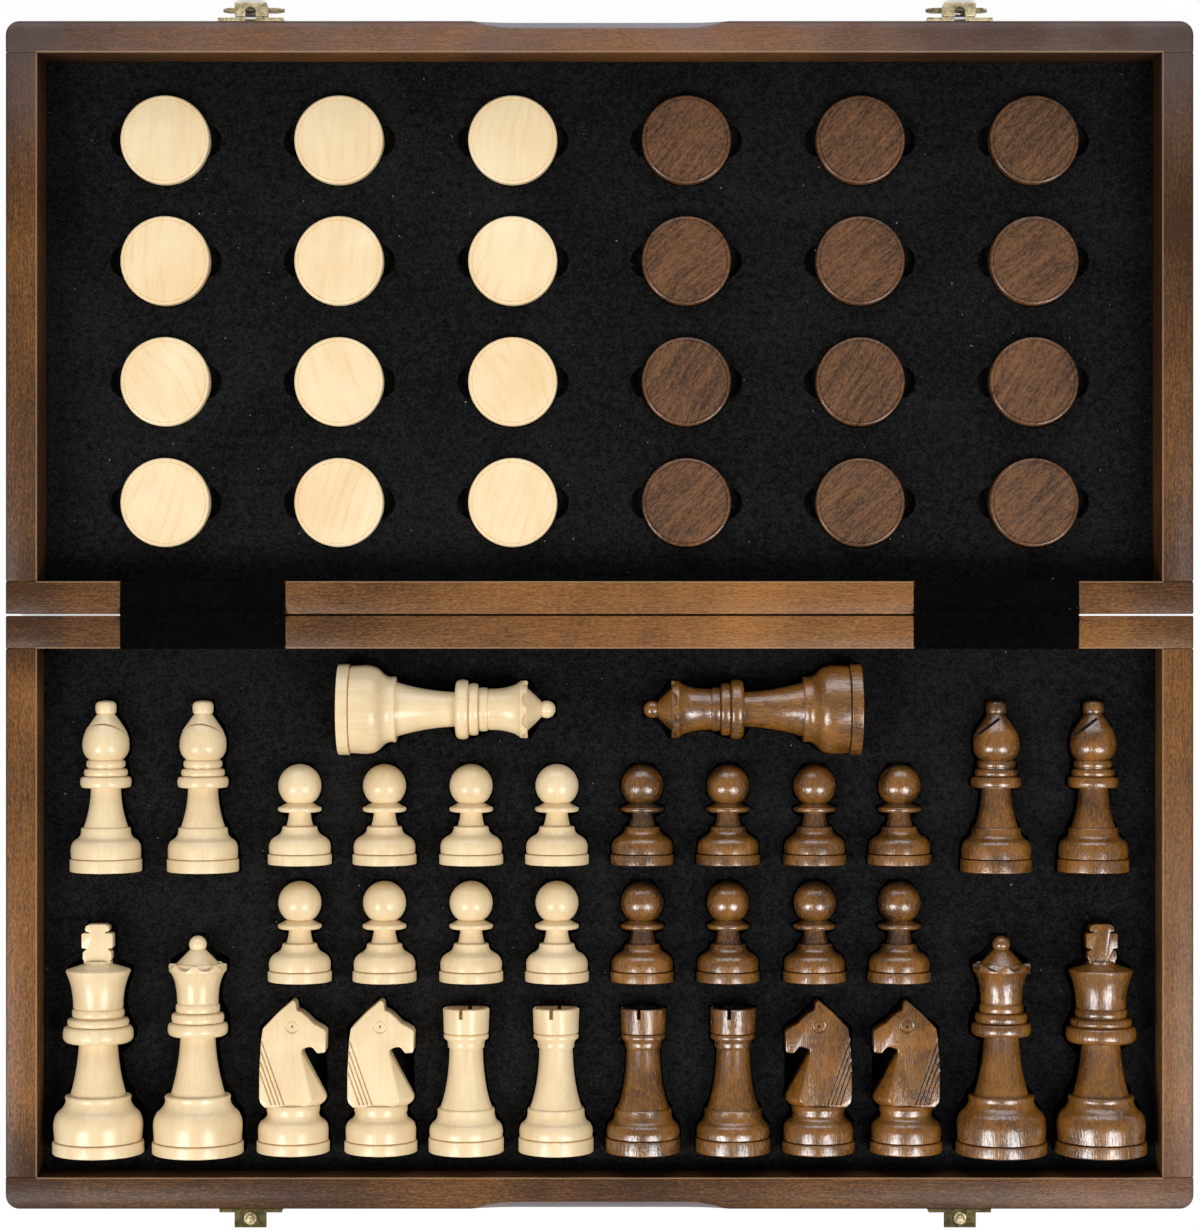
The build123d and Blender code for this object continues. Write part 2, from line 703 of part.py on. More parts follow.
def checker_foam():
    """Foam of the lid tray; each pocket leaves finger room at both sides of its checker."""
    reach = CHECKER_RADIUS + POCKET_FIT / 2
    half_finger = FINGER_WIDTH / 2
    right = [
        (half_finger, -reach), (FINGER_REACH, -half_finger),
        (FINGER_REACH, half_finger), (half_finger, reach),
    ]
    outline = right + [(-x, -y) for x, y in right]
    cutters = [Pos(x, y, 0) * pocket(outline, CHECKER_FOAM) for x, y in checker_spots()]
    foam, = lid_side([foam_slab(CHECKER_FOAM)])
    return foam - cutters - right_side(cutters)


# Build and save every node

os.makedirs("parts", exist_ok=True)

left_rails = [left_rail()]
tray_nodes = {
    "front_rail": [front_rail()],
    "spine_rail": [spine_rail()],
    "left_rail": left_rails,
    "right_rail": right_side(left_rails),
    "panel": [panel()],
    "steel_sheet": [steel_sheet()],
    "border": [border()],
    "hinge_screws": hinge_screws(),
    "hinge_covers": hinge_covers(),
}
for name, shapes in tray_nodes.items():
    write(f"base_{name}", shapes)
    write(f"lid_{name}", lid_side(shapes))
write("base_foam", [chess_foam()])
write("lid_foam", [checker_foam()])

# Mirrored over the fold, the squares of one colour carry on as those of the other
for colour, light in (("light", True), ("dark", False)):
    write(f"base_{colour}_squares", squares(light))
    write(f"lid_{colour}_squares", lid_side(squares(not light)))

for side, x in (("left", -HINGE_X), ("right", HINGE_X)):
    write(f"{side}_hinge_base_leaf", [hinge_leaf(x, of_lid=False)])
    write(f"{side}_hinge_lid_leaf", lid_side([hinge_leaf(x, of_lid=True)]))
    write(f"{side}_hinge_pin", [hinge_pin(x)])

for side, x in (("left", LEFT_LATCH_X), ("right", RIGHT_LATCH_X)):
    write(f"{side}_catch_plate", [Pos(x, 0, 0) * catch_plate()])
    write(f"{side}_latch_plate", lid_side([Pos(x, 0, 0) * latch_plate()]))
    write(f"{side}_thumb_lever", lid_side([Pos(x, 0, 0) * thumb_lever()]))
write("catch_studs", both_latches([ball_stud()]))
write("catch_screws", both_latches(plate_screws()))
write("latch_screws", lid_side(both_latches(plate_screws())))
write("latch_pins", lid_side(both_latches([pivot_pin()])))
write("latch_springs", lid_side(both_latches([lever_spring()])))

men = {
    "rook": for_board(rook()),
    "knight": for_board(knight()),
    "queen": for_board(queen()),
    "king": for_board(king()),
    "bishop": for_board(bishop()),
    "pawn": for_board(pawn()),
}
chess_magnets = []
for name, spots in light_spots().items():
    light_men = [lay(men[name], name, spot) for spot in spots]
    chess_magnets += [lay(magnet(), name, spot) for spot in spots]
    node = name if len(spots) == 1 else name + "s"
    write(f"light_{node}", light_men)
    write(f"dark_{node}", right_side(light_men))
write("light_chess_magnets", chess_magnets)
write("dark_chess_magnets", right_side(chess_magnets))

places = [Pos(x, y, POCKET_FLOOR + REST_GAP) for x, y in checker_spots()]
light_checkers = [place * checker() for place in places]
checker_magnets = [place * magnet() for place in places]
write("light_checkers", light_checkers)
write("dark_checkers", right_side(light_checkers))
write("light_checker_magnets", checker_magnets)
write("dark_checker_magnets", right_side(checker_magnets))
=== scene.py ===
"""Folding board for chess and checkers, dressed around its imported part.

Lengths are metres in the part's own frame: X runs along the fold, the base lies towards -Y,
the lid towards +Y, and the ground is z = 0. Sizes read in millimetres are multiplied by MM.
"""

import logging
import math
from collections.abc import Callable, Iterator, Sequence
from contextlib import contextmanager
from dataclasses import dataclass
from enum import Enum
from typing import ClassVar

import bmesh
import bpy
from mathutils import Euler, Matrix, Vector


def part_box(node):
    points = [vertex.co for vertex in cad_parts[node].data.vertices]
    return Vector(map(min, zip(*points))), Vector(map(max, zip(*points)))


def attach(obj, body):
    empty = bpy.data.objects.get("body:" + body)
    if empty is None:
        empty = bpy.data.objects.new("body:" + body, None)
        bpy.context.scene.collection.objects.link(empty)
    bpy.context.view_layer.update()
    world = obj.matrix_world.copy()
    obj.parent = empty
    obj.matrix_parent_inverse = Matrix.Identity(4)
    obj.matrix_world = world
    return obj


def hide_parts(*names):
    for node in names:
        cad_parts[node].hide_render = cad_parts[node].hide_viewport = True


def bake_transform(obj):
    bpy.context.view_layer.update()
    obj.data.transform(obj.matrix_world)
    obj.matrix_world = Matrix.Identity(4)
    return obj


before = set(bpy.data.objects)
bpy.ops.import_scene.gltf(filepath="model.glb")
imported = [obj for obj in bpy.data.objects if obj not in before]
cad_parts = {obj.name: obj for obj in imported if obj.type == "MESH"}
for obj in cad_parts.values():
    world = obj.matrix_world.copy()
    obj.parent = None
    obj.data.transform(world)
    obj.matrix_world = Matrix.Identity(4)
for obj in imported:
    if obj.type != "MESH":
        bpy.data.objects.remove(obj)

MM = 0.001
QUARTER_TURN = math.pi / 2
WELD = 0.002 * MM
SHARP = 40.0
MAGNET_WIDTH = 5.0 * MM
MAGNET_DEPTH = 2.2 * MM
log = logging.getLogger("board")

Band = tuple[float, float]
Colour = tuple[float, float, float]
Outline = Sequence[tuple[float, float]]
Socket = bpy.types.NodeSocket
Material = bpy.types.Material
Setting = tuple[Matrix, Material]
Test = Callable[[Vector, Vector], bool]


def shade(red: int, green: int, blue: int) -> Colour:
    """Turn a display colour into the linear one that a shader takes.

    Args:
        red, green, blue: The display colour, each from 0 to 255.

    Returns:
        The linear colour.
    """
    spans = (channel / 255 for channel in (red, green, blue))
    return tuple(((span + 0.055) / 1.055) ** 2.4 for span in spans)


WHITE: Colour = (1.0, 1.0, 1.0)
SIDES = ("left", "right")


class Side(Enum):
    """The two sides of the game."""

    LIGHT = "light"
    DARK = "dark"


class Half(Enum):
    """The two trays, each with its direction away from the fold along Y."""

    BASE = -1
    LID = 1

    @property
    def body(self) -> str:
        """Name of the tray's body."""
        return self.name.lower()


class Grain(Enum):
    """Axis along which the grain of a piece runs, as a stretch of its pattern."""

    X = (0.06, 1.0, 1.0)
    Y = (1.0, 0.06, 1.0)
    Z = (1.0, 1.0, 0.06)


# Shaders


class Tone:
    """A number that a socket carries; plain arithmetic on it adds Math nodes."""

    def __init__(self, recipe: "Nodes", socket: Socket) -> None:
        """Wrap one output socket of a recipe."""
        self.recipe = recipe
        self.socket = socket

    def _math(self, operation: str, *terms: "Tone | float") -> "Tone":
        """Add a Math node of this operation on the terms."""
        settings, inputs = {"operation": operation}, dict(enumerate(terms))
        return Tone(self.recipe, self.recipe.node("ShaderNodeMath", settings, inputs).outputs[0])

    def __add__(self, other: "Tone | float") -> "Tone":
        """Sum of two tones."""
        return self._math("ADD", self, other)

    def __sub__(self, other: "Tone | float") -> "Tone":
        """Difference of two tones."""
        return self._math("SUBTRACT", self, other)

    def __rsub__(self, other: float) -> "Tone":
        """Number less this tone."""
        return self._math("SUBTRACT", other, self)

    def __mul__(self, other: "Tone | float") -> "Tone":
        """Product of two tones."""
        return self._math("MULTIPLY", self, other)

    def __truediv__(self, other: "Tone | float") -> "Tone":
        """Quotient of two tones."""
        return self._math("DIVIDE", self, other)

    def __pow__(self, other: "Tone | float") -> "Tone":
        """Tone raised to a power."""
        return self._math("POWER", self, other)

    def __abs__(self) -> "Tone":
        """Size of the tone without its sign."""
        return self._math("ABSOLUTE", self)

    __radd__ = __add__
    __rmul__ = __mul__

    def wave(self) -> "Tone":
        """Sine of the tone, brought to between 0 and 1."""
        return self._math("SINE", self) * 0.5 + 0.5

    def floor(self) -> "Tone":
        """Whole number below the tone."""
        return self._math("FLOOR", self)

    def larger(self, other: "Tone | float") -> "Tone":
        """Larger of two tones."""
        return self._math("MAXIMUM", self, other)

    def ease(self, low: float, high: float) -> "Tone":
        """Go smoothly from 0 at one value of the tone to 1 at another.

        Args:
            low: Where the result is 0.
            high: Where it is 1; it may be the smaller of the two.

        Returns:
            The eased tone.
        """
        settings = {"interpolation_type": "SMOOTHSTEP"}
        inputs = {"Value": self, "From Min": low, "From Max": high}
        node = self.recipe.node("ShaderNodeMapRange", settings, inputs)
        return Tone(self.recipe, node.outputs[0])


class Nodes:
    """The nodes of a material or of the world."""

    def __init__(self, owner: bpy.types.ID) -> None:
        """Take up the nodes that a material or world starts with."""
        owner.use_nodes = True
        self.tree = owner.node_tree

    def node(self, kind: str, settings: dict | None = None,
             inputs: dict | None = None) -> bpy.types.Node:
        """Add one node.

        Args:
            kind: Its type, such as ShaderNodeMath.
            settings: Values of its own properties, set first.
            inputs: Values or links of its sockets, by name or number.

        Returns:
            The node.
        """
        made = self.tree.nodes.new(kind)
        for key, setting in (settings or {}).items():
            setattr(made, key, setting)
        self.feed(made, inputs or {})
        return made

    def feed(self, node: bpy.types.Node, inputs: dict) -> None:
        """Link or set sockets of a node.

        Args:
            node: The node that takes them.
            inputs: Tones, sockets, numbers or colours by socket name or number.
        """
        for key, given in inputs.items():
            socket = node.inputs[key]
            source = given.socket if isinstance(given, Tone) else given
            if isinstance(source, Socket):
                self.tree.links.new(source, socket)
            elif socket.type == "RGBA":
                socket.default_value = (*given, 1.0)
            else:
                socket.default_value = given


class Recipe(Nodes):
    """A material being mixed: its nodes and the shader that they feed."""

    def __init__(self, name: str) -> None:
        """Start a material with one principled shader.

        Args:
            name: Name of the material.
        """
        self.material = bpy.data.materials.new(name)
        super().__init__(self.material)
        self.shader = self.tree.nodes["Principled BSDF"]
        self.place = self.node("ShaderNodeTexCoord").outputs["Object"]

    def stretched(self, stretch: Sequence[float], turn: float = 0.0) -> Socket:
        """Place on the piece, stretched for a pattern that has a direction.

        Args:
            stretch: Scale along each axis.
            turn: Rotation about Z, made first.

        Returns:
            The socket with the stretched place.
        """
        inputs = {"Vector": self.place, "Rotation": (0.0, 0.0, turn)}
        turned = self.node("ShaderNodeMapping", None, inputs).outputs[0]
        inputs = {"Vector": turned, "Scale": stretch}
        return self.node("ShaderNodeMapping", None, inputs).outputs[0]

    def noise(self, place: Socket, scale: float, detail: float = 2.0,
              roughness: float = 0.5, distortion: float = 0.0) -> Tone:
        """Cloudy noise over a place.

        Args:
            place: Where it is read.
            scale: Clouds per metre.
            detail: Finer octaves.
            roughness: Strength of the finer octaves.
            distortion: How far it is stirred.

        Returns:
            A tone around one half.
        """
        inputs = {
            "Vector": place, "Scale": scale, "Detail": detail,
            "Roughness": roughness, "Distortion": distortion,
        }
        return Tone(self, self.node("ShaderNodeTexNoise", None, inputs).outputs[0])

    def axes(self, place: Socket | None = None) -> tuple[Tone, Tone, Tone]:
        """A place, or else the place on the piece, as three tones."""
        parts = self.node("ShaderNodeSeparateXYZ", None, {0: place or self.place}).outputs
        return tuple(Tone(self, part) for part in parts)

    def mix(self, share: Tone, first: Colour | Socket, second: Colour | Socket) -> Socket:
        """Mix two colours.

        Args:
            share: Share of the second.
            first, second: Colours or colour sockets.

        Returns:
            The socket with the mixed colour.
        """
        settings = {"data_type": "RGBA"}
        return self.node("ShaderNodeMix", settings, {0: share, 6: first, 7: second}).outputs[2]

    def bump(self, height: Tone, depth: float) -> Socket:
        """Relief of the surface.

        Args:
            height: Its height from 0 to 1.
            depth: Metres from 0 to 1.

        Returns:
            The socket with the bumped normal.
        """
        inputs = {"Height": height, "Distance": depth, "Strength": 1.0}
        return self.node("ShaderNodeBump", None, inputs).outputs[0]

    def finish(self, **inputs: object) -> Material:
        """Feed the shader and hand over the material.

        Args:
            inputs: Values or links of the shader's sockets, with _ for a space in a name.

        Returns:
            The material.
        """
        self.feed(self.shader, {key.replace("_", " "): given for key, given in inputs.items()})
        return self.material


@dataclass(frozen=True)
class Wood:
    """A wood with its stain, figure and gloss; the shares say how strongly each figure shows."""

    name: str
    slot: str
    pale: Colour
    deep: Colour
    grain: Grain = Grain.X
    fibres: float = 1500.0
    fibre_share: float = 0.4
    speckle: float = 2400.0
    speckle_share: float = 0.3
    cloud: float = 14.0
    cloud_share: float = 0.5
    ring_share: float = 0.0
    ring_pitch: float = 2.6 * MM
    ring_wobble: float = 14.0 * MM
    ring_bends: float = 26.0
    ring_gaps: float = 90.0
    ring_fineness: float = 5.0
    rough: Band = (0.32, 0.5)
    pore_share: float = 0.25
    pore_depth: float = 0.4
    least_stretch: float = 0.3
    gloss: float = 0.3
    coat: float = 0.0
    coat_rough: float = 0.1
    coat_ior: float = 1.7
    depth: float = 0.02 * MM

    def stain(self, recipe: Recipe) -> Tone | float:
        """Extra depth by place: stain on some woods, painted shade on others; none on a plain
        wood.
        """
        return 0.0

    def paint_light(self, recipe: Recipe, base: Socket) -> Socket:
        """Paint light and shade over the colour by place; none on a plain wood."""
        return base

    def polish(self, recipe: Recipe) -> Tone | float:
        """Weight of the lacquer by place; the same all over on a plain wood."""
        return self.coat

    def rings(self, recipe: Recipe, along: Socket) -> Tone:
        """Thin curved lines of the growth rings.

        Args:
            recipe: The material being mixed.
            along: The place, stretched along the grain.

        Returns:
            Share that is one on a line.
        """
        across, *_ = recipe.axes(along)
        wobble = recipe.noise(recipe.place, self.ring_bends, detail=1.0, roughness=0.3)
        faint = recipe.noise(recipe.place, self.ring_gaps, detail=1.0).ease(0.35, 0.65)
        turns = (across + wobble * self.ring_wobble) * (math.tau / self.ring_pitch)
        return turns.wave() ** self.ring_fineness * faint

    def paint(self, grain: Grain | None = None, turn: float = 0.0) -> Material:
        """Material for pieces whose grain runs one way.

        Args:
            grain: The axis of the grain, if not the usual one of this wood.
            turn: Rotation of the pattern about Z, for grain at a slant.

        Returns:
            The material.
        """
        grain = grain or self.grain
        recipe = Recipe(f"{self.name}_{grain.name.lower()}")
        along = recipe.stretched(grain.value, turn)
        short = recipe.stretched([max(share, self.least_stretch) for share in grain.value], turn)
        fibres = recipe.noise(along, self.fibres, detail=4.0, roughness=0.6, distortion=0.2)
        speckle = recipe.noise(short, self.speckle, detail=2.0, roughness=0.6)
        cloud = recipe.noise(recipe.place, self.cloud, detail=3.0, roughness=0.5, distortion=0.6)
        depth = self.stain(recipe) + 0.5
        for figure, share in (
            (cloud, self.cloud_share), (fibres, self.fibre_share), (speckle, self.speckle_share),
        ):
            depth = depth + (figure - 0.5) * (2 * share)
        if self.ring_share:
            depth = depth + self.rings(recipe, along) * self.ring_share
        pores = recipe.noise(along, 2 * self.fibres, detail=2.0).ease(0.60, 0.72)
        base = recipe.mix(depth.ease(-0.15, 1.15), self.pale, self.deep)
        dark = tuple(channel * self.pore_depth for channel in self.deep)
        base = recipe.mix(pores * self.pore_share, base, dark)
        smooth, dull = self.rough
        relief = fibres * 0.5 + speckle * 0.4 - pores * 0.5
        return recipe.finish(
            Base_Color=self.paint_light(recipe, base),
            Roughness=speckle.ease(0.25, 0.8) * (dull - smooth) + smooth,
            Normal=recipe.bump(relief, self.depth),
            Specular_IOR_Level=self.gloss,
            Coat_Weight=self.polish(recipe),
            Coat_Roughness=self.coat_rough,
            Coat_IOR=self.coat_ior,
        )


@dataclass(frozen=True)
class RailWood(Wood):
    """Stained wood of the box: darker towards its ends, golden at the spine, with painted light in
    places.

    A field that ends in _share says how strong a spot is. A pair is a band of X, Y or Z, across
    which the spot grows from nothing at the first value to full at the second.
    """

    reach: float = 190.5 * MM
    inside: float = 180.5 * MM
    spine_edge: float = 10.8 * MM
    rim: float = 27.0 * MM
    ground_share: float = 0.06
    corner_share: float = 0.45
    corner_band: Band = (0.35, 1.05)
    lid_band: Band = (-100 * MM, 100 * MM)
    side_share: float = 0.22
    side_x: Band = (165 * MM, 178 * MM)
    side_y: Band = (160 * MM, 120 * MM)
    side_lid: Band = (-40 * MM, 20 * MM)
    front_share: float = 0.4
    front_y: Band = (-150 * MM, -180 * MM)
    front_right: Band = (-50 * MM, 140 * MM)
    far_share: float = 0.13
    far_y: Band = (174 * MM, 181 * MM)
    far_gap: float = -112 * MM
    far_gap_x: Band = (30 * MM, 75 * MM)
    beside_share: float = 0.12
    beside_x: Band = (-165 * MM, -178 * MM)
    beside_y: Band = (-20 * MM, -70 * MM)
    spine_share: float = 0.26
    spine_y: Band = (30 * MM, 10 * MM)
    spine_x: Band = (30 * MM, -60 * MM)
    spine_lid_share: float = 0.6
    # Painted shade on the faces below the rim.
    wall_shade_share: float = 0.2
    # Painted reflections: grey sheen on the lid's outer edge, the far rail and the near right.
    haze: Colour = shade(116, 104, 106)
    haze_edge_share: float = 0.4
    haze_far_share: float = 0.42
    haze_far_y: Band = (130 * MM, 188 * MM)
    haze_near_share: float = 0.2
    haze_near_x: Band = (80 * MM, 190 * MM)
    haze_near_y: Band = (-10 * MM, -120 * MM)
    # Painted blue-grey reflection in the finger scoops, stronger in the lid's.
    scoop_haze: Colour = shade(128, 130, 156)
    scoop_base_share: float = 0.15
    scoop_lid_share: float = 0.4
    scoop_coat: float = 0.9
    scoop_half: float = 45.5 * MM
    scoop_wall: float = 182.0 * MM
    scoop_foot: float = 22.2 * MM
    # Painted highlight along the rim's inner edges, and the strength of both edge lines.
    edge_highlight: Colour = shade(186, 148, 110)
    line_share: float = 0.5

    def stain(self, recipe: Recipe) -> Tone:
        """Depth growing to the corners and the left, falling along the spine; painted shade below
        the rim.

        Args:
            recipe: The material being mixed.

        Returns:
            The extra depth.
        """
        x, y, z = recipe.axes()
        corner = ((abs(x) * abs(y)) / self.reach**2).ease(*self.corner_band)
        corner = corner * y.ease(*self.lid_band)
        flank = abs(x).ease(*self.side_x) * abs(y).ease(*self.side_y) * y.ease(*self.side_lid)
        front = y.ease(*self.front_y) * (1 - x.ease(*self.front_right) * 0.5)
        far = y.ease(*self.far_y) * abs(x - self.far_gap).ease(*self.far_gap_x)
        beside = x.ease(*self.beside_x) * y.ease(*self.beside_y)
        spine = abs(y).ease(*self.spine_y) * x.ease(*self.spine_x)
        spine = spine * (1 - y.ease(-MM, MM) * (1 - self.spine_lid_share))
        # Painted shade: all faces below the rim are darkened.
        below_rim_shade = z.ease(self.rim - 0.5 * MM, self.rim - 1.5 * MM)
        depth = corner * self.corner_share + front * self.front_share + flank * self.side_share
        depth = depth + far * self.far_share + beside * self.beside_share
        return depth + spine * self.spine_share + below_rim_shade * self.wall_shade_share + self.ground_share

    def paint_light(self, recipe: Recipe, base: Socket) -> Socket:
        """Painted reflections: grey on the far rail, outer edge and near right, blue-grey in the
        scoops.

        Args:
            recipe: The material being mixed.
            base: The colour so far.

        Returns:
            The socket with the colour, its painted reflections and its edge lines.
        """
        x, y, z = recipe.axes()
        # Painted grey reflection on the lid's outer edge, the far rail and the near right, in
        # patches.
        edge = y.ease(self.reach - 3.0 * MM, self.reach - 0.6 * MM) * self.haze_edge_share
        far = y.ease(*self.haze_far_y) * self.haze_far_share
        near = x.ease(*self.haze_near_x) * y.ease(*self.haze_near_y) * self.haze_near_share
        reflection_breakup = recipe.noise(recipe.place, 45.0, detail=3.0).ease(0.3, 0.75) * 0.5 + 0.5
        top = z.ease(self.rim - 3.0 * MM, self.rim - 1.0 * MM)
        reflected = recipe.mix((edge + far + near) * reflection_breakup * top, base, self.haze)
        # Painted blue-grey reflection in the finger scoops, stronger in the lid's.
        rise = self.scoop_lid_share - self.scoop_base_share
        lit = y.ease(-50 * MM, 50 * MM) * rise + self.scoop_base_share
        reflected = recipe.mix(self.scoops(recipe) * lit, reflected, self.scoop_haze)
        return self.line_edges(recipe, reflected)

    def scoops(self, recipe: Recipe) -> Tone:
        """Share that is one in both finger scoops.

        Args:
            recipe: The material being mixed.

        Returns:
            The share, nothing elsewhere.
        """
        x, y, z = recipe.axes()
        across = abs(y).ease(self.scoop_wall, self.scoop_wall + 0.5 * MM)
        along = abs(x).ease(self.scoop_half, self.scoop_half - 0.5 * MM)
        height = z.ease(self.scoop_foot - 0.4 * MM, self.scoop_foot)
        return across * along * height * z.ease(self.rim - 0.15 * MM, self.rim - 0.6 * MM)

    def polish(self, recipe: Recipe) -> Tone:
        """Weight of the lacquer: thumbs have polished the scoops."""
        return self.scoops(recipe) * self.scoop_coat + self.coat

    def line_edges(self, recipe: Recipe, base: Socket) -> Socket:
        """Paint the rim's edges: a painted highlight along the inside, painted shade along the
        outside.

        Args:
            recipe: The material being mixed.
            base: The colour so far.

        Returns:
            The socket with the colour and both lines.
        """
        x, y, z = recipe.axes()
        wide, long = abs(x), abs(y)
        top = z.ease(self.rim - 0.7 * MM, self.rim - 0.4 * MM) * self.line_share

        def line(distance: Tone, at: float) -> Tone:
            """Thin line where a distance has one value."""
            return abs(distance - at - 0.1 * MM).ease(0.42 * MM, 0.12 * MM)

        def within(distance: Tone) -> Tone:
            """Share that falls off past the inside of the rails."""
            return distance.ease(self.inside + 0.3 * MM, self.inside)

        # Painted highlight along the inner edges.
        beside = long.ease(self.spine_edge - 0.3 * MM, self.spine_edge)
        pale = line(wide, self.inside) * within(long) * beside
        pale = pale + line(long, self.inside) * within(wide)
        pale = pale + line(long, self.spine_edge - 0.2 * MM) * within(wide)
        # Painted shade along the outer edge, in the deep colour.
        dark = wide.larger(long).ease(self.reach - 0.9 * MM, self.reach - 0.45 * MM)
        edge_highlight = recipe.mix(pale * top, base, self.edge_highlight)
        return recipe.mix(dark * top, edge_highlight, self.deep)


@dataclass(frozen=True)
class TurnedWood(Wood):
    """Wood of the dark men, with painted shade on their lower flanks as they lie."""

    # Painted shade: below the first height the men darken, fully by the second.
    clean: float = 25.0 * MM
    dark: float = 12.0 * MM
    flank_shade_share: float = 0.7

    def stain(self, recipe: Recipe) -> Tone:
        """Painted shade: depth that grows downwards."""
        *_, z = recipe.axes()
        return z.ease(self.clean, self.dark) * self.flank_shade_share


@dataclass(frozen=True)
class Veneer(Wood):
    """Veneer of the playing face, each square cut from its own leaf."""

    square: float = 42 * MM
    leaf_share: float = 0.3

    def stain(self, recipe: Recipe) -> Tone:
        """Lightness that changes from one square to the next.

        Args:
            recipe: The material being mixed.

        Returns:
            The extra depth, less than nothing on a pale leaf.
        """
        x, y, _ = recipe.axes()
        square = {0: (x / self.square).floor(), 1: (y / self.square).floor()}
        corner = recipe.node("ShaderNodeCombineXYZ", None, square).outputs[0]
        leaf = recipe.node("ShaderNodeTexWhiteNoise", None, {0: corner}).outputs[0]
        return Tone(recipe, leaf) * self.leaf_share - self.leaf_share / 2


@dataclass(frozen=True)
class Plies:
    """Edge and underside of plywood, stained like the box."""

    name: str = "plywood"
    slot: str = "plywood"
    pale: Colour = shade(126, 90, 60)
    deep: Colour = shade(74, 50, 34)
    ply: float = 1.1 * MM
    rough: float = 0.45
    depth: float = 0.04 * MM

    def paint(self) -> Material:
        """Material with plies stacked along Z and streaks along X.

        Returns:
            The material.
        """
        recipe = Recipe(self.name)
        *_, z = recipe.axes()
        plies = (z * (math.tau / self.ply)).wave()
        streaks = recipe.noise(recipe.stretched(Grain.X.value), 1200.0, detail=4.0)
        depth = plies * 0.5 + streaks * 0.5
        return recipe.finish(
            Base_Color=recipe.mix(depth.ease(0.2, 0.8), self.pale, self.deep),
            Roughness=streaks * 0.2 + self.rough,
            Normal=recipe.bump(depth, self.depth),
        )


@dataclass(frozen=True)
class Nap:
    """Black foam or felt with a short nap and a little lint."""

    name: str
    slot: str
    ground: Colour
    tip: Colour
    fibre: float = 1300.0
    tuft: float = 430.0
    patch: float = 22.0
    lint: float = 0.6
    lint_colour: Colour = shade(150, 152, 155)
    rough: float = 0.86
    sheen: float = 0.08
    depth: float = 0.25 * MM

    def paint(self) -> Material:
        """Material with a fuzzy relief, brushed patches and sparse pale specks.

        Returns:
            The material.
        """
        recipe = Recipe(self.name)
        fuzz = recipe.noise(recipe.place, self.fibre, detail=3.0, roughness=0.75)
        tuft = recipe.noise(recipe.place, self.tuft, detail=3.0, roughness=0.7)
        brushed = recipe.noise(recipe.place, self.patch, detail=3.0, roughness=0.6, distortion=1.0)
        specks = recipe.noise(recipe.place, 700.0, detail=1.0).ease(0.79, 0.83)
        height = (fuzz - 0.5) * 1.5 + (tuft - 0.5) * 0.9 + (brushed - 0.5) * 0.5 + 0.5
        base = recipe.mix(height.ease(0.2, 0.9), self.ground, self.tip)
        return recipe.finish(
            Base_Color=recipe.mix(specks * self.lint, base, self.lint_colour),
            Roughness=fuzz * 0.1 + self.rough,
            Normal=recipe.bump(height, self.depth),
            Specular_IOR_Level=self.sheen,
        )


@dataclass(frozen=True)
class Metal:
    """Metal with tarnish in its dull places and fine scratches."""

    name: str
    slot: str
    bright: Colour
    tarnish: Colour
    tarnish_share: float = 0.5
    pit_share: float = 0.35
    rough: Band = (0.25, 0.5)
    metal: float = 0.95
    depth: float = 0.03 * MM

    def paint(self) -> Material:
        """Material with cloudy tarnish, pitting and scratches.

        Returns:
            The material.
        """
        recipe = Recipe(self.name)
        cloud = recipe.noise(recipe.place, 350.0, detail=4.0, roughness=0.65, distortion=0.8)
        pits = recipe.noise(recipe.place, 2600.0, detail=3.0, roughness=0.6)
        scratches = recipe.noise(recipe.stretched((0.05, 1.0, 1.0)), 5000.0, detail=2.0)
        dull = cloud.ease(0.35, 0.7) * self.tarnish_share + pits.ease(0.45, 0.65) * self.pit_share
        low, high = self.rough
        return recipe.finish(
            Base_Color=recipe.mix(dull, self.bright, self.tarnish),
            Metallic=self.metal,
            Roughness=dull * (high - low) + scratches * 0.08 + low,
            Normal=recipe.bump(pits * 0.6 + scratches * 0.4, self.depth),
        )


BOX_WOOD = RailWood(
    "stained_rail", "stained_rail", pale=shade(184, 124, 66), deep=shade(58, 36, 20),
    fibres=2100.0, fibre_share=0.3, speckle_share=0.45, cloud=12.0,
    rough=(0.42, 0.56), gloss=0.18, coat=0.06, coat_rough=0.25,
)
LIGHT_MEN = Wood(
    "light_wood", "light_wood", pale=shade(246, 225, 184), deep=shade(219, 189, 142),
    fibres=900.0, fibre_share=0.3, speckle_share=0.12, cloud=60.0, pore_share=0.03,
    rough=(0.3, 0.42), coat=0.32, coat_rough=0.2,
)
DARK_MEN = TurnedWood(
    "dark_wood", "dark_wood", pale=shade(162, 105, 34), deep=shade(36, 17, 6),
    fibres=1300.0, fibre_share=0.25, speckle=1900.0, speckle_share=0.55, cloud=90.0,
    cloud_share=0.55, pore_share=0.0, rough=(0.12, 0.3), gloss=1.0, coat=0.3,
    coat_rough=0.14, depth=0.22 * MM,
)
LIGHT_DISCS = Wood(
    "light_disc", "light_wood", pale=shade(255, 240, 204), deep=shade(236, 198, 142),
    fibres=800.0, fibre_share=0.2, speckle_share=0.1, cloud=34.0, ring_share=0.16,
    ring_pitch=4.4 * MM, ring_wobble=26.0 * MM, pore_share=0.04, rough=(0.35, 0.5),
    coat=0.1, depth=0.01 * MM,
)
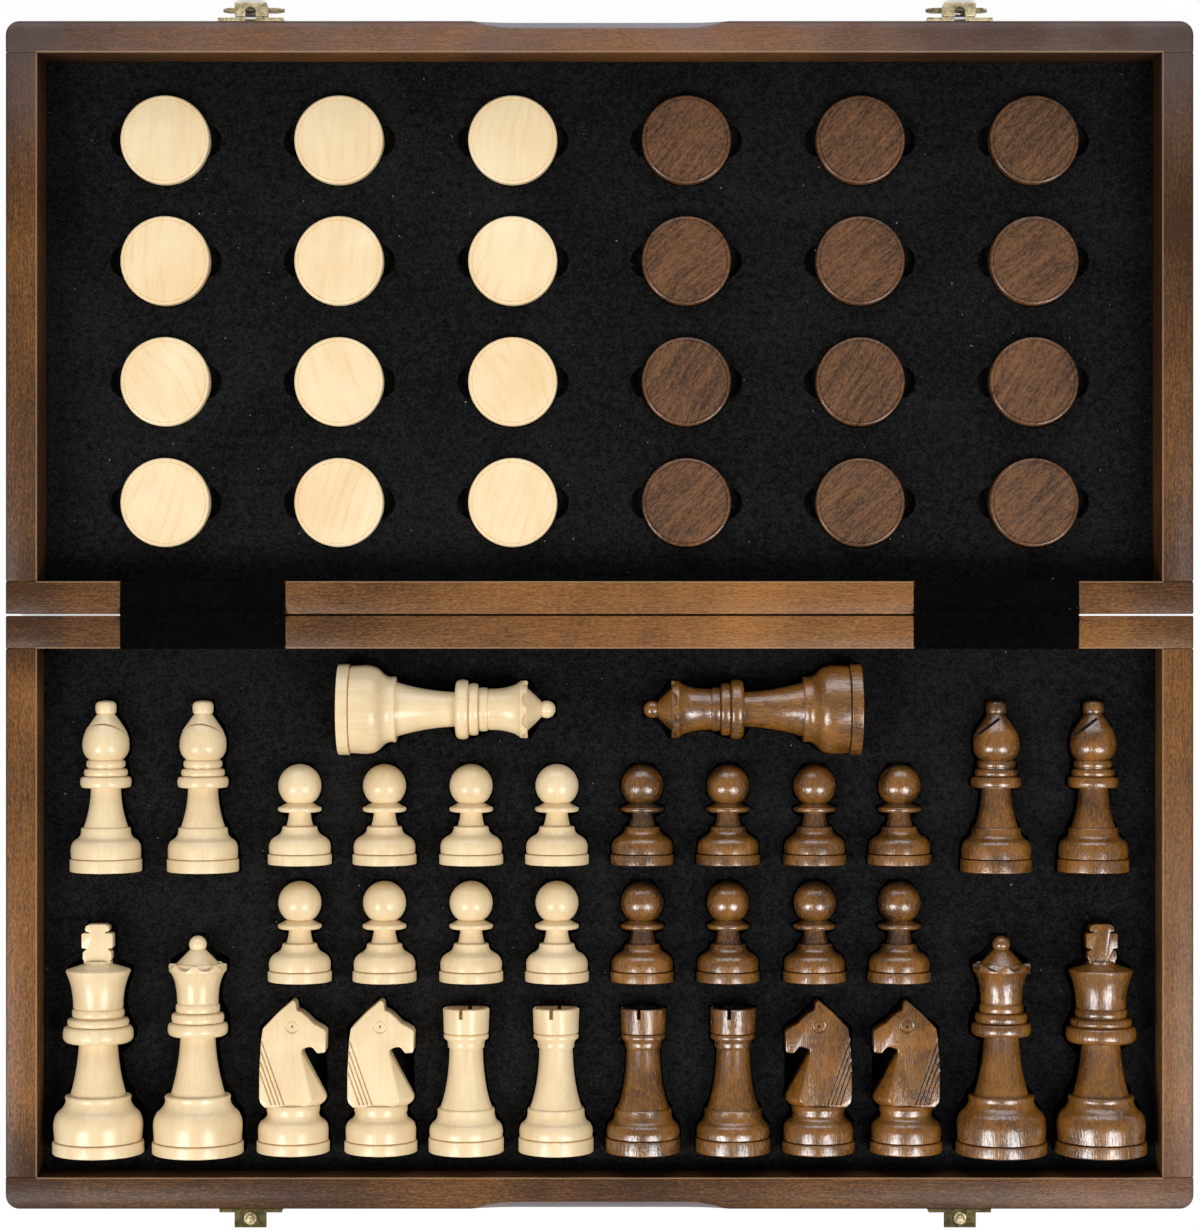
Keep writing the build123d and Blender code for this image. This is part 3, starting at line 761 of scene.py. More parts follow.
DARK_DISCS = Wood(
    "dark_disc", "dark_wood", pale=shade(126, 85, 53), deep=shade(44, 26, 14),
    fibres=700.0, fibre_share=0.7, speckle_share=1.0, cloud=40.0, cloud_share=0.3,
    pore_share=0.15, rough=(0.32, 0.46), coat=0.4, coat_rough=0.16, depth=0.06 * MM,
)
LIGHT_VENEER = Veneer(
    "light_veneer", "light_veneer", pale=shade(232, 205, 156), deep=shade(196, 158, 104),
    grain=Grain.Y, fibres=900.0, cloud=22.0, cloud_share=0.25, rough=(0.25, 0.35), coat=0.3,
)
DARK_VENEER = Veneer(
    "dark_veneer", "dark_veneer", pale=shade(88, 56, 33), deep=shade(42, 26, 15),
    fibres=1000.0, cloud=22.0, cloud_share=0.25, rough=(0.25, 0.35), coat=0.3,
)
BORDER_VENEER = Wood(
    "border_veneer", "border_veneer", pale=shade(118, 80, 50), deep=shade(54, 36, 25),
    fibres=1000.0, fibre_share=0.3, cloud=9.0, cloud_share=0.3, rough=(0.25, 0.35), coat=0.3,
)
PLYWOOD = Plies()
FOAM = Nap("black_foam", "black_foam", ground=shade(4, 4, 4), tip=shade(33, 33, 33))
FELT = Nap(
    "black_felt", "black_felt", ground=shade(1, 1, 1), tip=shade(12, 12, 12),
    lint=0.3, sheen=0.02,
)
ANTIQUE_BRASS = Metal(
    "antique_brass", "antique_brass", bright=shade(244, 226, 182), tarnish=shade(110, 92, 56),
    tarnish_share=0.75, rough=(0.38, 0.6), metal=0.7,
)
# Painted shade: a darker copy of the antique brass, for the catch plates.
SHADED_CATCH_BRASS = Metal(
    "catch_brass", "antique_brass", bright=shade(104, 92, 48), tarnish=shade(38, 34, 15),
    tarnish_share=0.8, rough=(0.55, 0.75), metal=0.5,
)
HINGE_BRASS = Metal(
    "hinge_brass", "hinge_brass", bright=shade(214, 184, 110), tarnish=shade(150, 118, 58),
)
SPRING_STEEL = Metal(
    "spring_steel", "spring_steel", bright=shade(190, 192, 196), tarnish=shade(110, 112, 118),
)
SHEET_STEEL = Metal(
    "steel_sheet", "steel_sheet", bright=shade(180, 184, 188), tarnish=shade(130, 132, 136),
)
NICKEL = Metal("magnet", "magnet", bright=shade(205, 205, 208), tarnish=shade(140, 140, 145))

Finish = Wood | Plies | Nap | Metal


def dress(piece: bpy.types.Object, material: Material) -> None:
    """Give a piece its material.

    Args:
        piece: The piece, modelled or carried over.
        material: Its material.
    """
    piece.data.materials.clear()
    piece.data.materials.append(material)


def dress_nodes(finish: Finish, *names: str, material: Material | None = None) -> None:
    """Dress carried-over nodes in one finish.

    Args:
        finish: The finish.
        names: The nodes.
        material: Its material, where it is mixed already.
    """
    material = material or finish.paint()
    for name in names:
        dress(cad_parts[name], material)


# Modelling


class Bench:
    """A piece on the bench: it is shaped in edit mode, with the selection made in code."""

    def __init__(self, name: str) -> None:
        """Take up the primitive that was just added.

        Args:
            name: Name of the piece and its mesh.
        """
        self.obj = bpy.context.object
        self.obj.name = name
        self.obj.data.name = name

    @staticmethod
    def clear() -> None:
        """Leave nothing selected, because an operator acts on all that is."""
        bpy.ops.object.select_all(action="DESELECT")

    @classmethod
    def take(cls, piece: bpy.types.Object, *others: bpy.types.Object) -> None:
        """Select a piece alone, or with others, and make it the active one.

        Args:
            piece: The piece that becomes active.
            others: What is selected with it.
        """
        cls.clear()
        for chosen in (piece, *others):
            chosen.select_set(True)
        bpy.context.view_layer.objects.active = piece

    @classmethod
    def of_mesh(cls, name: str, mesh: bpy.types.Mesh) -> "Bench":
        """Take up a new object with a copy of a mesh.

        Args:
            name: Name of the piece.
            mesh: The mesh that is copied.

        Returns:
            The bench with the piece.
        """
        piece = bpy.data.objects.new(name, mesh.copy())
        bpy.context.scene.collection.objects.link(piece)
        cls.take(piece)
        return cls(name)

    @classmethod
    def placed(cls, name: str) -> "Bench":
        """Take up the primitive that was just added, its place and scale put in its mesh."""
        bpy.ops.object.transform_apply(location=True, rotation=True, scale=True)
        return cls(name)

    @classmethod
    def block(cls, name: str, low: Sequence[float], high: Sequence[float]) -> "Bench":
        """Start from a cube between two corners.

        Args:
            name: Name of the piece.
            low, high: Its lowest and highest corners.

        Returns:
            The bench with the block.
        """
        low, high = Vector(low), Vector(high)
        cls.clear()
        bpy.ops.mesh.primitive_cube_add(size=1, location=(low + high) / 2, scale=high - low)
        return cls.placed(name)

    @classmethod
    def turned(cls, name: str, profile: "Profile", sides: int) -> "Bench":
        """Turn a piece about Z from a disc, drawn up ring by ring along its profile.

        Args:
            name: Name of the piece.
            profile: Its outline in millimetres.
            sides: Faces around it.

        Returns:
            The bench with the turned piece standing on the origin.
        """
        points = [(radius * MM, height * MM) for radius, height in profile.points]
        cls.clear()
        radius, height = points[0]
        bpy.ops.mesh.primitive_circle_add(
            vertices=sides, radius=radius, fill_type="NGON", location=(0, 0, height)
        )
        bench = cls.placed(name)
        with bench.editing():
            bpy.ops.mesh.select_all(action="SELECT")
            for wider, higher in points[1:]:
                bench.draw((0, 0, higher - height))
                share = wider / radius
                bpy.ops.transform.resize(value=(share, share, 1), center_override=(0, 0, higher))
                radius, height = wider, higher
        bench.face_outwards()
        return bench

    @classmethod
    def prism(cls, name: str, outline: Outline, low: float, high: float) -> "Bench":
        """Start from a flat outline and draw it up.

        Args:
            name: Name of the piece.
            outline: Its corners in X and Y.
            low, high: Heights of its two ends.

        Returns:
            The bench with the prism.
        """
        cls.clear()
        bpy.ops.mesh.primitive_circle_add(vertices=len(outline), radius=1, fill_type="NGON")
        bench = cls(name)
        with bench.editing() as mesh:
            for point, (x, y) in zip(mesh.verts, outline, strict=True):
                point.co = (x, y, low)
            bpy.ops.mesh.select_all(action="SELECT")
            bench.draw((0, 0, high - low))
        bench.face_outwards()
        return bench

    @classmethod
    def traced(cls, name: str, node: str) -> "Bench":
        """Start from a copy of a carried-over node, with its loose triangles merged.

        Args:
            name: Name of the piece.
            node: The node.

        Returns:
            The bench with the copy.
        """
        bench = cls.of_mesh(name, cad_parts[node].data)
        with bench.editing():
            bpy.ops.mesh.select_all(action="SELECT")
            bpy.ops.mesh.remove_doubles(threshold=WELD)
            bpy.ops.mesh.dissolve_limited(angle_limit=math.radians(1))
        return bench

    @contextmanager
    def editing(self, kind: str = "FACE") -> Iterator[bmesh.types.BMesh]:
        """Work in edit mode, starting with nothing selected.

        Args:
            kind: What is selected: VERT, EDGE or FACE.

        Yields:
            The mesh in edit mode.
        """
        self.take(self.obj)
        bpy.ops.object.mode_set(mode="EDIT")
        bpy.ops.mesh.select_mode(type=kind)
        bpy.ops.mesh.select_all(action="DESELECT")
        yield bmesh.from_edit_mesh(self.obj.data)
        bpy.ops.object.mode_set(mode="OBJECT")

    @staticmethod
    def draw(way: tuple[float, float, float]) -> None:
        """Extrude what is selected in edit mode along a way."""
        bpy.ops.mesh.extrude_region_move(TRANSFORM_OT_translate={"value": way})

    def pick_faces(self, test: Test) -> None:
        """Select faces in edit mode by centre and normal.

        Args:
            test: Says yes to the centre and normal of a wanted face.
        """
        mesh = bmesh.from_edit_mesh(self.obj.data)
        for face in mesh.faces:
            face.select_set(test(face.calc_center_median(), face.normal))
        bmesh.update_edit_mesh(self.obj.data)

    def pick_edges(self, test: Test) -> None:
        """Select edges in edit mode by their two ends.

        Args:
            test: Says yes to the ends of a wanted edge.
        """
        mesh = bmesh.from_edit_mesh(self.obj.data)
        for edge in mesh.edges:
            edge.select_set(test(edge.verts[0].co, edge.verts[1].co))
        bmesh.update_edit_mesh(self.obj.data)

    def pick_points(self, test: Callable[[Vector], bool]) -> None:
        """Select points in edit mode by place.

        Args:
            test: Says yes to the place of a wanted point.
        """
        mesh = bmesh.from_edit_mesh(self.obj.data)
        for point in mesh.verts:
            point.select_set(test(point.co))
        mesh.select_flush_mode()
        bmesh.update_edit_mesh(self.obj.data)

    def face_outwards(self) -> None:
        """Turn every face outwards."""
        with self.editing():
            bpy.ops.mesh.select_all(action="SELECT")
            bpy.ops.mesh.normals_make_consistent(inside=False)

    def modify(self, kind: str, **settings: object) -> None:
        """Add a modifier and apply it.

        Args:
            kind: Its type.
            settings: Values of its properties.
        """
        self.take(self.obj)
        modifier = self.obj.modifiers.new(kind.title(), kind)
        for key, setting in settings.items():
            setattr(modifier, key, setting)
        bpy.ops.object.modifier_apply(modifier=modifier.name)

    def clear_away(self) -> None:
        """Take the piece off the bench when its work is done."""
        bpy.data.objects.remove(self.obj)

    def cut(self, *tools: "Bench") -> None:
        """Take the shapes of other pieces out of this one and clear them away."""
        for tool in tools:
            self.modify("BOOLEAN", operation="DIFFERENCE", solver="EXACT", object=tool.obj)
            tool.clear_away()

    def add(self, other: "Bench") -> None:
        """Grow another piece onto this one."""
        self.modify("BOOLEAN", operation="UNION", solver="EXACT", object=other.obj)
        other.clear_away()

    def join(self, others: Sequence["Bench"]) -> None:
        """Take other pieces into this mesh as they are."""
        self.take(self.obj, *(other.obj for other in others))
        bpy.ops.object.join()

    def drill_for_magnet(self) -> None:
        """Cut the square hole for the magnet into the underside of a standing piece."""
        half, depth = MAGNET_WIDTH / 2, MAGNET_DEPTH
        self.cut(Bench.block("magnet_hole", (-half, -half, -depth), (half, half, depth)))

    def ease_edges(self, width: float, segments: int = 2, angle: float = SHARP) -> None:
        """Round every sharp edge a little.

        Args:
            width: Width of the rounding.
            segments: Faces across it.
            angle: Smallest turn in degrees that counts as sharp.
        """
        self.modify(
            "BEVEL", width=width, segments=segments, limit_method="ANGLE",
            angle_limit=math.radians(angle), harden_normals=False,
        )

    def ease_outward_edges(self, width: float, middle: float, keep: float) -> None:
        """Round the sharp edges that point outwards, except those around a slot.

        Args:
            width: Width of the rounding.
            middle: Place of the slot along X.
            keep: Half width around it in which edges stay sharp.
        """
        with self.editing("EDGE") as mesh:
            for edge in mesh.edges:
                near = all(abs(point.co.x - middle) < keep for point in edge.verts)
                sharp = edge.is_convex and edge.calc_face_angle(0.0) > math.radians(SHARP)
                edge.select_set(sharp and not near)
            bpy.ops.mesh.bevel(offset=width, segments=2, affect="EDGES")

    def move(self, place: Matrix) -> None:
        """Put the piece in its place, mesh and all."""
        self.obj.data.transform(place)
        if place.determinant() < 0:
            self.face_outwards()

    def copy(self, name: str, place: Matrix) -> "Bench":
        """Copy the piece with a mesh of its own.

        Args:
            name: Name of the copy.
            place: Where the copy goes.

        Returns:
            The bench with the copy.
        """
        bench = self.of_mesh(name, self.obj.data)
        bench.move(place)
        return bench

    def smooth(self, angle: float = 35) -> None:
        """Shade smooth across edges that turn less than an angle in degrees."""
        self.take(self.obj)
        bpy.ops.object.shade_smooth_by_angle(angle=math.radians(angle))

    def done(self, body: str, material: Material, finish: Finish,
             *nodes: str) -> bpy.types.Object:
        """Dress the piece, let it ride and stand for its nodes.

        Args:
            body: Body that it rides on.
            material: Its material.
            finish: The finish of the material; not used.
            nodes: Nodes that it stands for.

        Returns:
            The finished object.
        """
        dress(self.obj, material)
        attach(self.obj, body)
        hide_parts(*nodes)
        return self.obj


class Profile:
    """Outline of a turned piece, drawn up from its underside in millimetres."""

    STEPS = 6
    SWELL = 0.7
    PLINTH_EASE = 0.45
    PLINTH_GROOVE = 0.65

    def __init__(self, radius: float, height: float = 0.0) -> None:
        """Start at one radius and height."""
        self.points = [(radius, height)]

    @classmethod
    def on_plinth(cls, radius: float, top: float, body: float) -> "Profile":
        """Start with a plinth, its edges eased, and the fine groove above it.

        Args:
            radius: Radius of the plinth.
            top: Height of the plinth.
            body: Radius of what stands on it.

        Returns:
            The profile up to the foot of the body.
        """
        ease, groove = cls.PLINTH_EASE, cls.PLINTH_GROOVE
        start = cls(radius - ease).across_then_up(radius, ease).line(radius, top - ease)
        start = start.up_then_across(radius - ease, top)
        return start.line(body - groove, top + 0.1).line(body, top + ease)

    def line(self, radius: float, height: float) -> "Profile":
        """Go straight to a radius and height."""
        self.points.append((radius, height))
        return self

    def curve(self, corner_radius: float, corner_height: float, radius: float,
              height: float) -> "Profile":
        """Go round a corner point in one smooth curve.

        Args:
            corner_radius, corner_height: The point that pulls the curve.
            radius, height: Where the curve ends.

        Returns:
            The profile.
        """
        start_radius, start_height = self.points[-1]
        for step in range(1, self.STEPS + 1):
            share = step / self.STEPS
            start, corner, end = (1 - share) ** 2, 2 * share * (1 - share), share**2
            self.line(
                start * start_radius + corner * corner_radius + end * radius,
                start * start_height + corner * corner_height + end * height,
            )
        return self

    def across_then_up(self, radius: float, height: float) -> "Profile":
        """Curve that leaves level and arrives upright."""
        return self.curve(radius, self.points[-1][1], radius, height)

    def up_then_across(self, radius: float, height: float) -> "Profile":
        """Curve that leaves upright and arrives level."""
        return self.curve(self.points[-1][0], height, radius, height)

    def bead(self, height: float, out: float) -> "Profile":
        """Half-round moulding that ends above where it starts.

        Args:
            height: Height where it ends.
            out: How far it stands out.

        Returns:
            The profile.
        """
        radius, foot = self.points[-1]
        for step in range(1, self.STEPS + 1):
            turn = math.pi * step / self.STEPS
            self.line(
                radius + out * math.sin(turn) ** self.SWELL if step < self.STEPS else radius,
                foot + (height - foot) * (1 - math.cos(turn)) / 2,
            )
        return self

    def ball(self, radius: float, middle: float, last: float) -> "Profile":
        """Ball on the axis, from where the profile is to a last radius near its top.

        Args:
            radius: Radius of the ball.
            middle: Height of its middle.
            last: Radius at which it stops.

        Returns:
            The profile.
        """
        start = -math.acos(min(1.0, self.points[-1][0] / radius))
        stop = math.acos(last / radius)
        steps = 2 * self.STEPS
        for step in range(1, steps + 1):
            turn = start + (stop - start) * step / steps
            self.line(radius * math.cos(turn), middle + radius * math.sin(turn))
        return self


@dataclass(frozen=True)
class Extent:
    """Box of one solid of a node."""

    low: Vector
    high: Vector

    @property
    def centre(self) -> Vector:
        """Middle of the box."""
        return (self.low + self.high) / 2

    @property
    def size(self) -> Vector:
        """Size of the box along each axis."""
        return self.high - self.low

    @property
    def standing(self) -> Matrix:
        """Place of a piece that stands upright in the box."""
        return Matrix.Translation((self.centre.x, self.centre.y, self.low.z))


def solids_of(node: str) -> list[Extent]:
    """Find the separate solids of a node.

    Args:
        node: The node.

    Returns:
        Their boxes, from left to right and then from front to back.
    """
    mesh = bmesh.new()
    mesh.from_mesh(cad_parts[node].data)
    bmesh.ops.remove_doubles(mesh, verts=mesh.verts, dist=WELD)
    left, found = set(mesh.verts), []
    while left:
        island, queue = set(), [left.pop()]
        while queue:
            point = queue.pop()
            island.add(point)
            reached = {edge.other_vert(point) for edge in point.link_edges} & left
            left -= reached
            queue.extend(reached)
        low = Vector(min(point.co[axis] for point in island) for axis in range(3))
        high = Vector(max(point.co[axis] for point in island) for axis in range(3))
        found.append(Extent(low, high))
    mesh.free()
    return sorted(found, key=lambda solid: (round(solid.centre.x, 4), solid.centre.y))


def set_out(master: Bench, name: str, node: str, body: str, finish: Finish,
            lay: Callable[[int, Extent], Setting]) -> list[Matrix]:
    """Copy a piece to each solid of a node and dress the copies.

    Args:
        master: The piece, modelled once.
        name: Name of the copies, which get a number each.
        node: The node that they stand for.
        body: Body that they ride on.
        finish: Their finish.
        lay: Place and material of a copy, from its number and the box of its solid.

    Returns:
        The places of the copies.
    """
    places = []
    for number, solid in enumerate(solids_of(node), 1):
        place, material = lay(number, solid)
        master.copy(f"{name}_{number}", place).done(body, material, finish, node)
        places.append(place)
    log.info("%s: %d pieces", node, len(places))
    return places


# The men, each standing on the origin with its front towards -Y


@dataclass
class Man:
    """A turned man with a hole for its magnet in the foot; sizes are in millimetres."""

    kind: str = ""
    sides: int = 40

    def profile(self) -> Profile:
        """Turned outline of the man."""
        raise NotImplementedError

    def carve(self, bench: Bench, side: Side) -> None:
        """Hand work after turning; a plain man has none."""

    def model(self, side: Side) -> Bench:
        """Model one man.

        Args:
            side: The side that it plays for.

        Returns:
            The bench with the man.
        """
        bench = Bench.turned(f"{side.value}_{self.kind}", self.profile(), self.sides)
        self.carve(bench, side)
        bench.drill_for_magnet()
        bench.smooth()
        return bench


@dataclass
class Pawn(Man):
    """Pawn: bell foot, thin collar and ball."""

    kind: str = "pawn"
    foot: float = 10.35
    ball: float = 7.0
    height: float = 32.4

    def profile(self) -> Profile:
        """Turned outline of the pawn.

        Returns:
            The outline.
        """
        outline = Profile.on_plinth(self.foot, 3.3, 9.9)
        outline.line(10.0, 5.6).curve(9.9, 8.0, 7.7, 9.1).curve(5.8, 10.0, 5.7, 11.6)
        outline.line(5.6, 12.1).line(5.2, 12.3).line(4.4, 12.35).curve(3.7, 14.2, 3.5, 16.7)
        outline.line(5.9, 16.9).across_then_up(7.1, 17.9).up_then_across(6.4, 18.6)
        outline.line(4.1, 19.9)
        return outline.ball(self.ball, self.height - self.ball, 0.4)


@dataclass
class Rook(Man):
    """Rook: tower with a hollow top and four battlement cuts."""

    kind: str = "rook"
    foot: float = 12.15
    height: float = 46.4
    notch: float = 1.3
    notch_depth: float = 3.0
    notch_turn: float = 12.0

    def profile(self) -> Profile:
        """Turned outline of the rook.

        Returns:
            The outline.
        """
        outline = Profile.on_plinth(self.foot, 4.6, 11.75)
        outline.line(11.9, 6.6).curve(11.8, 8.8, 10.5, 9.6).curve(9.4, 10.4, 9.25, 12.0)
        outline.line(9.2, 13.7).line(8.9, 14.1).line(8.4, 14.15).curve(5.6, 21.5, 5.4, 33.2)
        outline.line(5.9, 33.9).up_then_across(6.5, 36.1).line(6.6, 36.4).line(7.1, 36.6)
        outline.bead(38.1, 0.15).line(6.6, 38.3).line(7.25, 38.6).line(7.5, 46.1)
        outline.line(7.25, self.height).line(4.8, self.height)
        return outline.line(4.7, 43.8).line(0.4, 43.5)

    def carve(self, bench: Bench, side: Side) -> None:
        """Saw the four battlement cuts.

        Args:
            bench: The turned rook.
            side: The side that it plays for.
        """
        width, reach, top = self.notch / 2 * MM, self.foot * MM, (self.height + 1) * MM
        floor = (self.height - self.notch_depth) * MM
        for turn in (self.notch_turn, self.notch_turn + 90):
            saw = Bench.block("saw", (-width, -reach, floor), (width, reach, top))
            saw.move(Matrix.Rotation(math.radians(-turn), 4, "Z"))
            bench.cut(saw)


@dataclass
class Bishop(Man):
    """Bishop: pointed head with a slanting saw cut.

    The mitre gives each side's cut: its height, how far it goes to the right, and its tilt.
    """

    MITRE: ClassVar[dict[Side, tuple[float, float, Colour]]] = {
        Side.LIGHT: (43.6, 11.6, (-0.69, 0.12, 0.0)),
        Side.DARK: (49.1, 0.8, (0.0, -0.63, 0.0)),
    }
    kind: str = "bishop"
    foot: float = 11.6
    height: float = 55.3
    kerf: float = 0.9
    past_axis: float = 0.8

    def profile(self) -> Profile:
        """Turned outline of the bishop.

        Returns:
            The outline.
        """
        outline = Profile.on_plinth(self.foot, 4.05, 11.2)
        outline.line(11.3, 7.0).curve(11.2, 9.6, 9.6, 10.4).curve(8.1, 11.2, 8.0, 12.8)
        outline.line(7.95, 13.8).line(7.7, 14.15).line(7.15, 14.2).curve(5.0, 20.0, 4.8, 26.8)
        outline.line(7.3, 27.1).bead(30.6, 0.95).line(6.4, 30.8).bead(33.1, 0.65)
        outline.line(5.7, 33.3).line(5.75, 33.6).bead(35.9, 0.55).line(5.5, 36.2)
        outline.curve(7.8, 38.0, 7.54, 41.4).curve(7.3, 44.4, 6.0, 46.4)
        outline.curve(4.0, 49.4, 2.9, 50.8).line(2.75, 51.0)
        outline.across_then_up(3.35, 52.1).line(3.4, 53.0)
        return outline.up_then_across(1.6, 55.1).line(0.3, self.height)

    def carve(self, bench: Bench, side: Side) -> None:
        """Saw the mitre from the front: sloping inwards on the light side, sideways on the dark.

        Args:
            bench: The turned bishop.
            side: The side that it plays for.
        """
        height, stop, tilt = self.MITRE[side]
        reach, half = self.foot * MM, self.kerf / 2 * MM
        saw = Bench.block("saw", (-reach, -reach, -half), (stop * MM, self.past_axis * MM, half))
        saw.move(Matrix.Translation((0, 0, height * MM)) @ Euler(tilt).to_matrix().to_4x4())
        bench.cut(saw)


@dataclass
class Queen(Man):
    """Queen: flared body with a scalloped coronet, cone and bead."""

    kind: str = "queen"
    sides: int = 48
    foot: float = 14.7
    height: float = 70.0
    bead: float = 2.84
    scallops: int = 8
    scallop: float = 3.3
    scallop_height: float = 62.5
    scallop_span: Band = (7.3, 12.0)

    def profile(self) -> Profile:
        """Turned outline of the queen.

        Returns:
            The outline.
        """
        outline = Profile.on_plinth(self.foot, 3.7, 14.1)
        outline.line(14.35, 8.4).curve(14.4, 12.4, 12.3, 13.9).curve(10.6, 15.3, 10.45, 17.2)
        outline.line(10.65, 18.2).line(10.4, 18.65).line(8.8, 18.7).curve(5.9, 28.0, 5.6, 37.5)
        outline.line(7.9, 37.8).across_then_up(9.65, 39.9).up_then_across(8.9, 41.9)
        outline.line(7.8, 42.1).bead(45.1, 0.65).line(6.6, 45.3).bead(48.2, 0.5)
        outline.line(6.5, 48.4).line(6.65, 48.9).curve(6.6, 55.0, 8.7, 58.2)
        outline.line(9.25, 58.7).line(9.3, 60.3).up_then_across(8.8, 61.0).line(6.9, 60.9)
        outline.curve(4.9, 63.2, 2.5, 65.5).line(2.1, 65.7)
        return outline.ball(self.bead, self.height - self.bead, 0.4)

    def carve(self, bench: Bench, side: Side) -> None:
        """Gouge the scallops round the coronet.

        Args:
            bench: The turned queen.
            side: The side that it plays for.
        """
        near, far = self.scallop_span
        gouge = Profile(self.scallop, near).line(self.scallop, far)
        for step in range(self.scallops):
            turn = math.tau * (step + 0.5) / self.scallops
            tool = Bench.turned("gouge", gouge, 24)
            tool.move(
                Matrix.Translation((0, 0, self.scallop_height * MM))
                @ Matrix.Rotation(turn, 4, "Z")
                @ Matrix.Rotation(QUARTER_TURN, 4, "Y")
            )
            bench.cut(tool)


@dataclass
class King(Man):
    """King: bell-shaped crown with a broad cross on its shoulder."""

    kind: str = "king"
    sides: int = 48
    foot: float = 14.7
    height: float = 73.8
    shoulder: float = 61.8
    cross_arms: float = 10.0
    cross_thickness: float = 5.4
    cross_ease: float = 0.12

    def profile(self) -> Profile:
        """Turned outline of the king.

        Returns:
            The outline.
        """
        outline = Profile.on_plinth(self.foot, 3.9, 14.0)
        outline.line(14.35, 8.4).curve(14.4, 12.4, 12.3, 13.9).curve(10.6, 15.3, 10.4, 17.2)
        outline.line(10.65, 18.1).line(10.4, 18.55).line(9.0, 18.6).curve(6.6, 26.5, 6.2, 35.3)
        outline.line(8.8, 35.6).across_then_up(11.3, 38.0).up_then_across(10.2, 40.8)
        outline.line(9.1, 41.0).bead(43.4, 0.8).line(7.9, 43.6).line(7.8, 43.9)
        outline.bead(46.5, 0.6).line(7.7, 46.7).line(8.0, 47.0).curve(8.0, 53.5, 10.3, 58.3)
        outline.line(10.4, 58.7).line(10.1, 59.1).line(4.9, 60.8).line(4.6, 61.0)
        return outline.line(4.6, self.shoulder).line(0.4, self.shoulder)

    def carve(self, bench: Bench, side: Side) -> None:
        """Set the cross on: three lobes with deep notches between them.

        Args:
            bench: The turned king.
            side: The side that it plays for.
        """
        arm, thick = self.cross_arms / 2, self.cross_thickness / 2 * MM
        foot = self.shoulder - 0.5
        right = [
            (4.1, foot), (4.2, 62.2), (4.6, 62.8), (4.6, 64.6), (4.3, 65.2), (3.5, 65.6),
            (3.5, 66.0), (arm - 0.2, 66.2), (arm, 66.6), (arm, 70.5), (arm - 0.3, 70.9),
            (2.6, 71.0), (2.6, 71.4), (3.6, 71.6), (3.9, 72.2), (3.6, 73.3),
            (2.6, self.height - 0.05), (1.0, self.height),
        ]
        outline = [(x * MM, z * MM) for x, z in right]
        outline += [(-x, z) for x, z in reversed(outline)]
        cross = Bench.prism("cross", outline, -thick, thick)
        cross.move(Matrix.Rotation(QUARTER_TURN, 4, "X"))
        cross.ease_edges(self.cross_ease * MM)
        bench.add(cross)


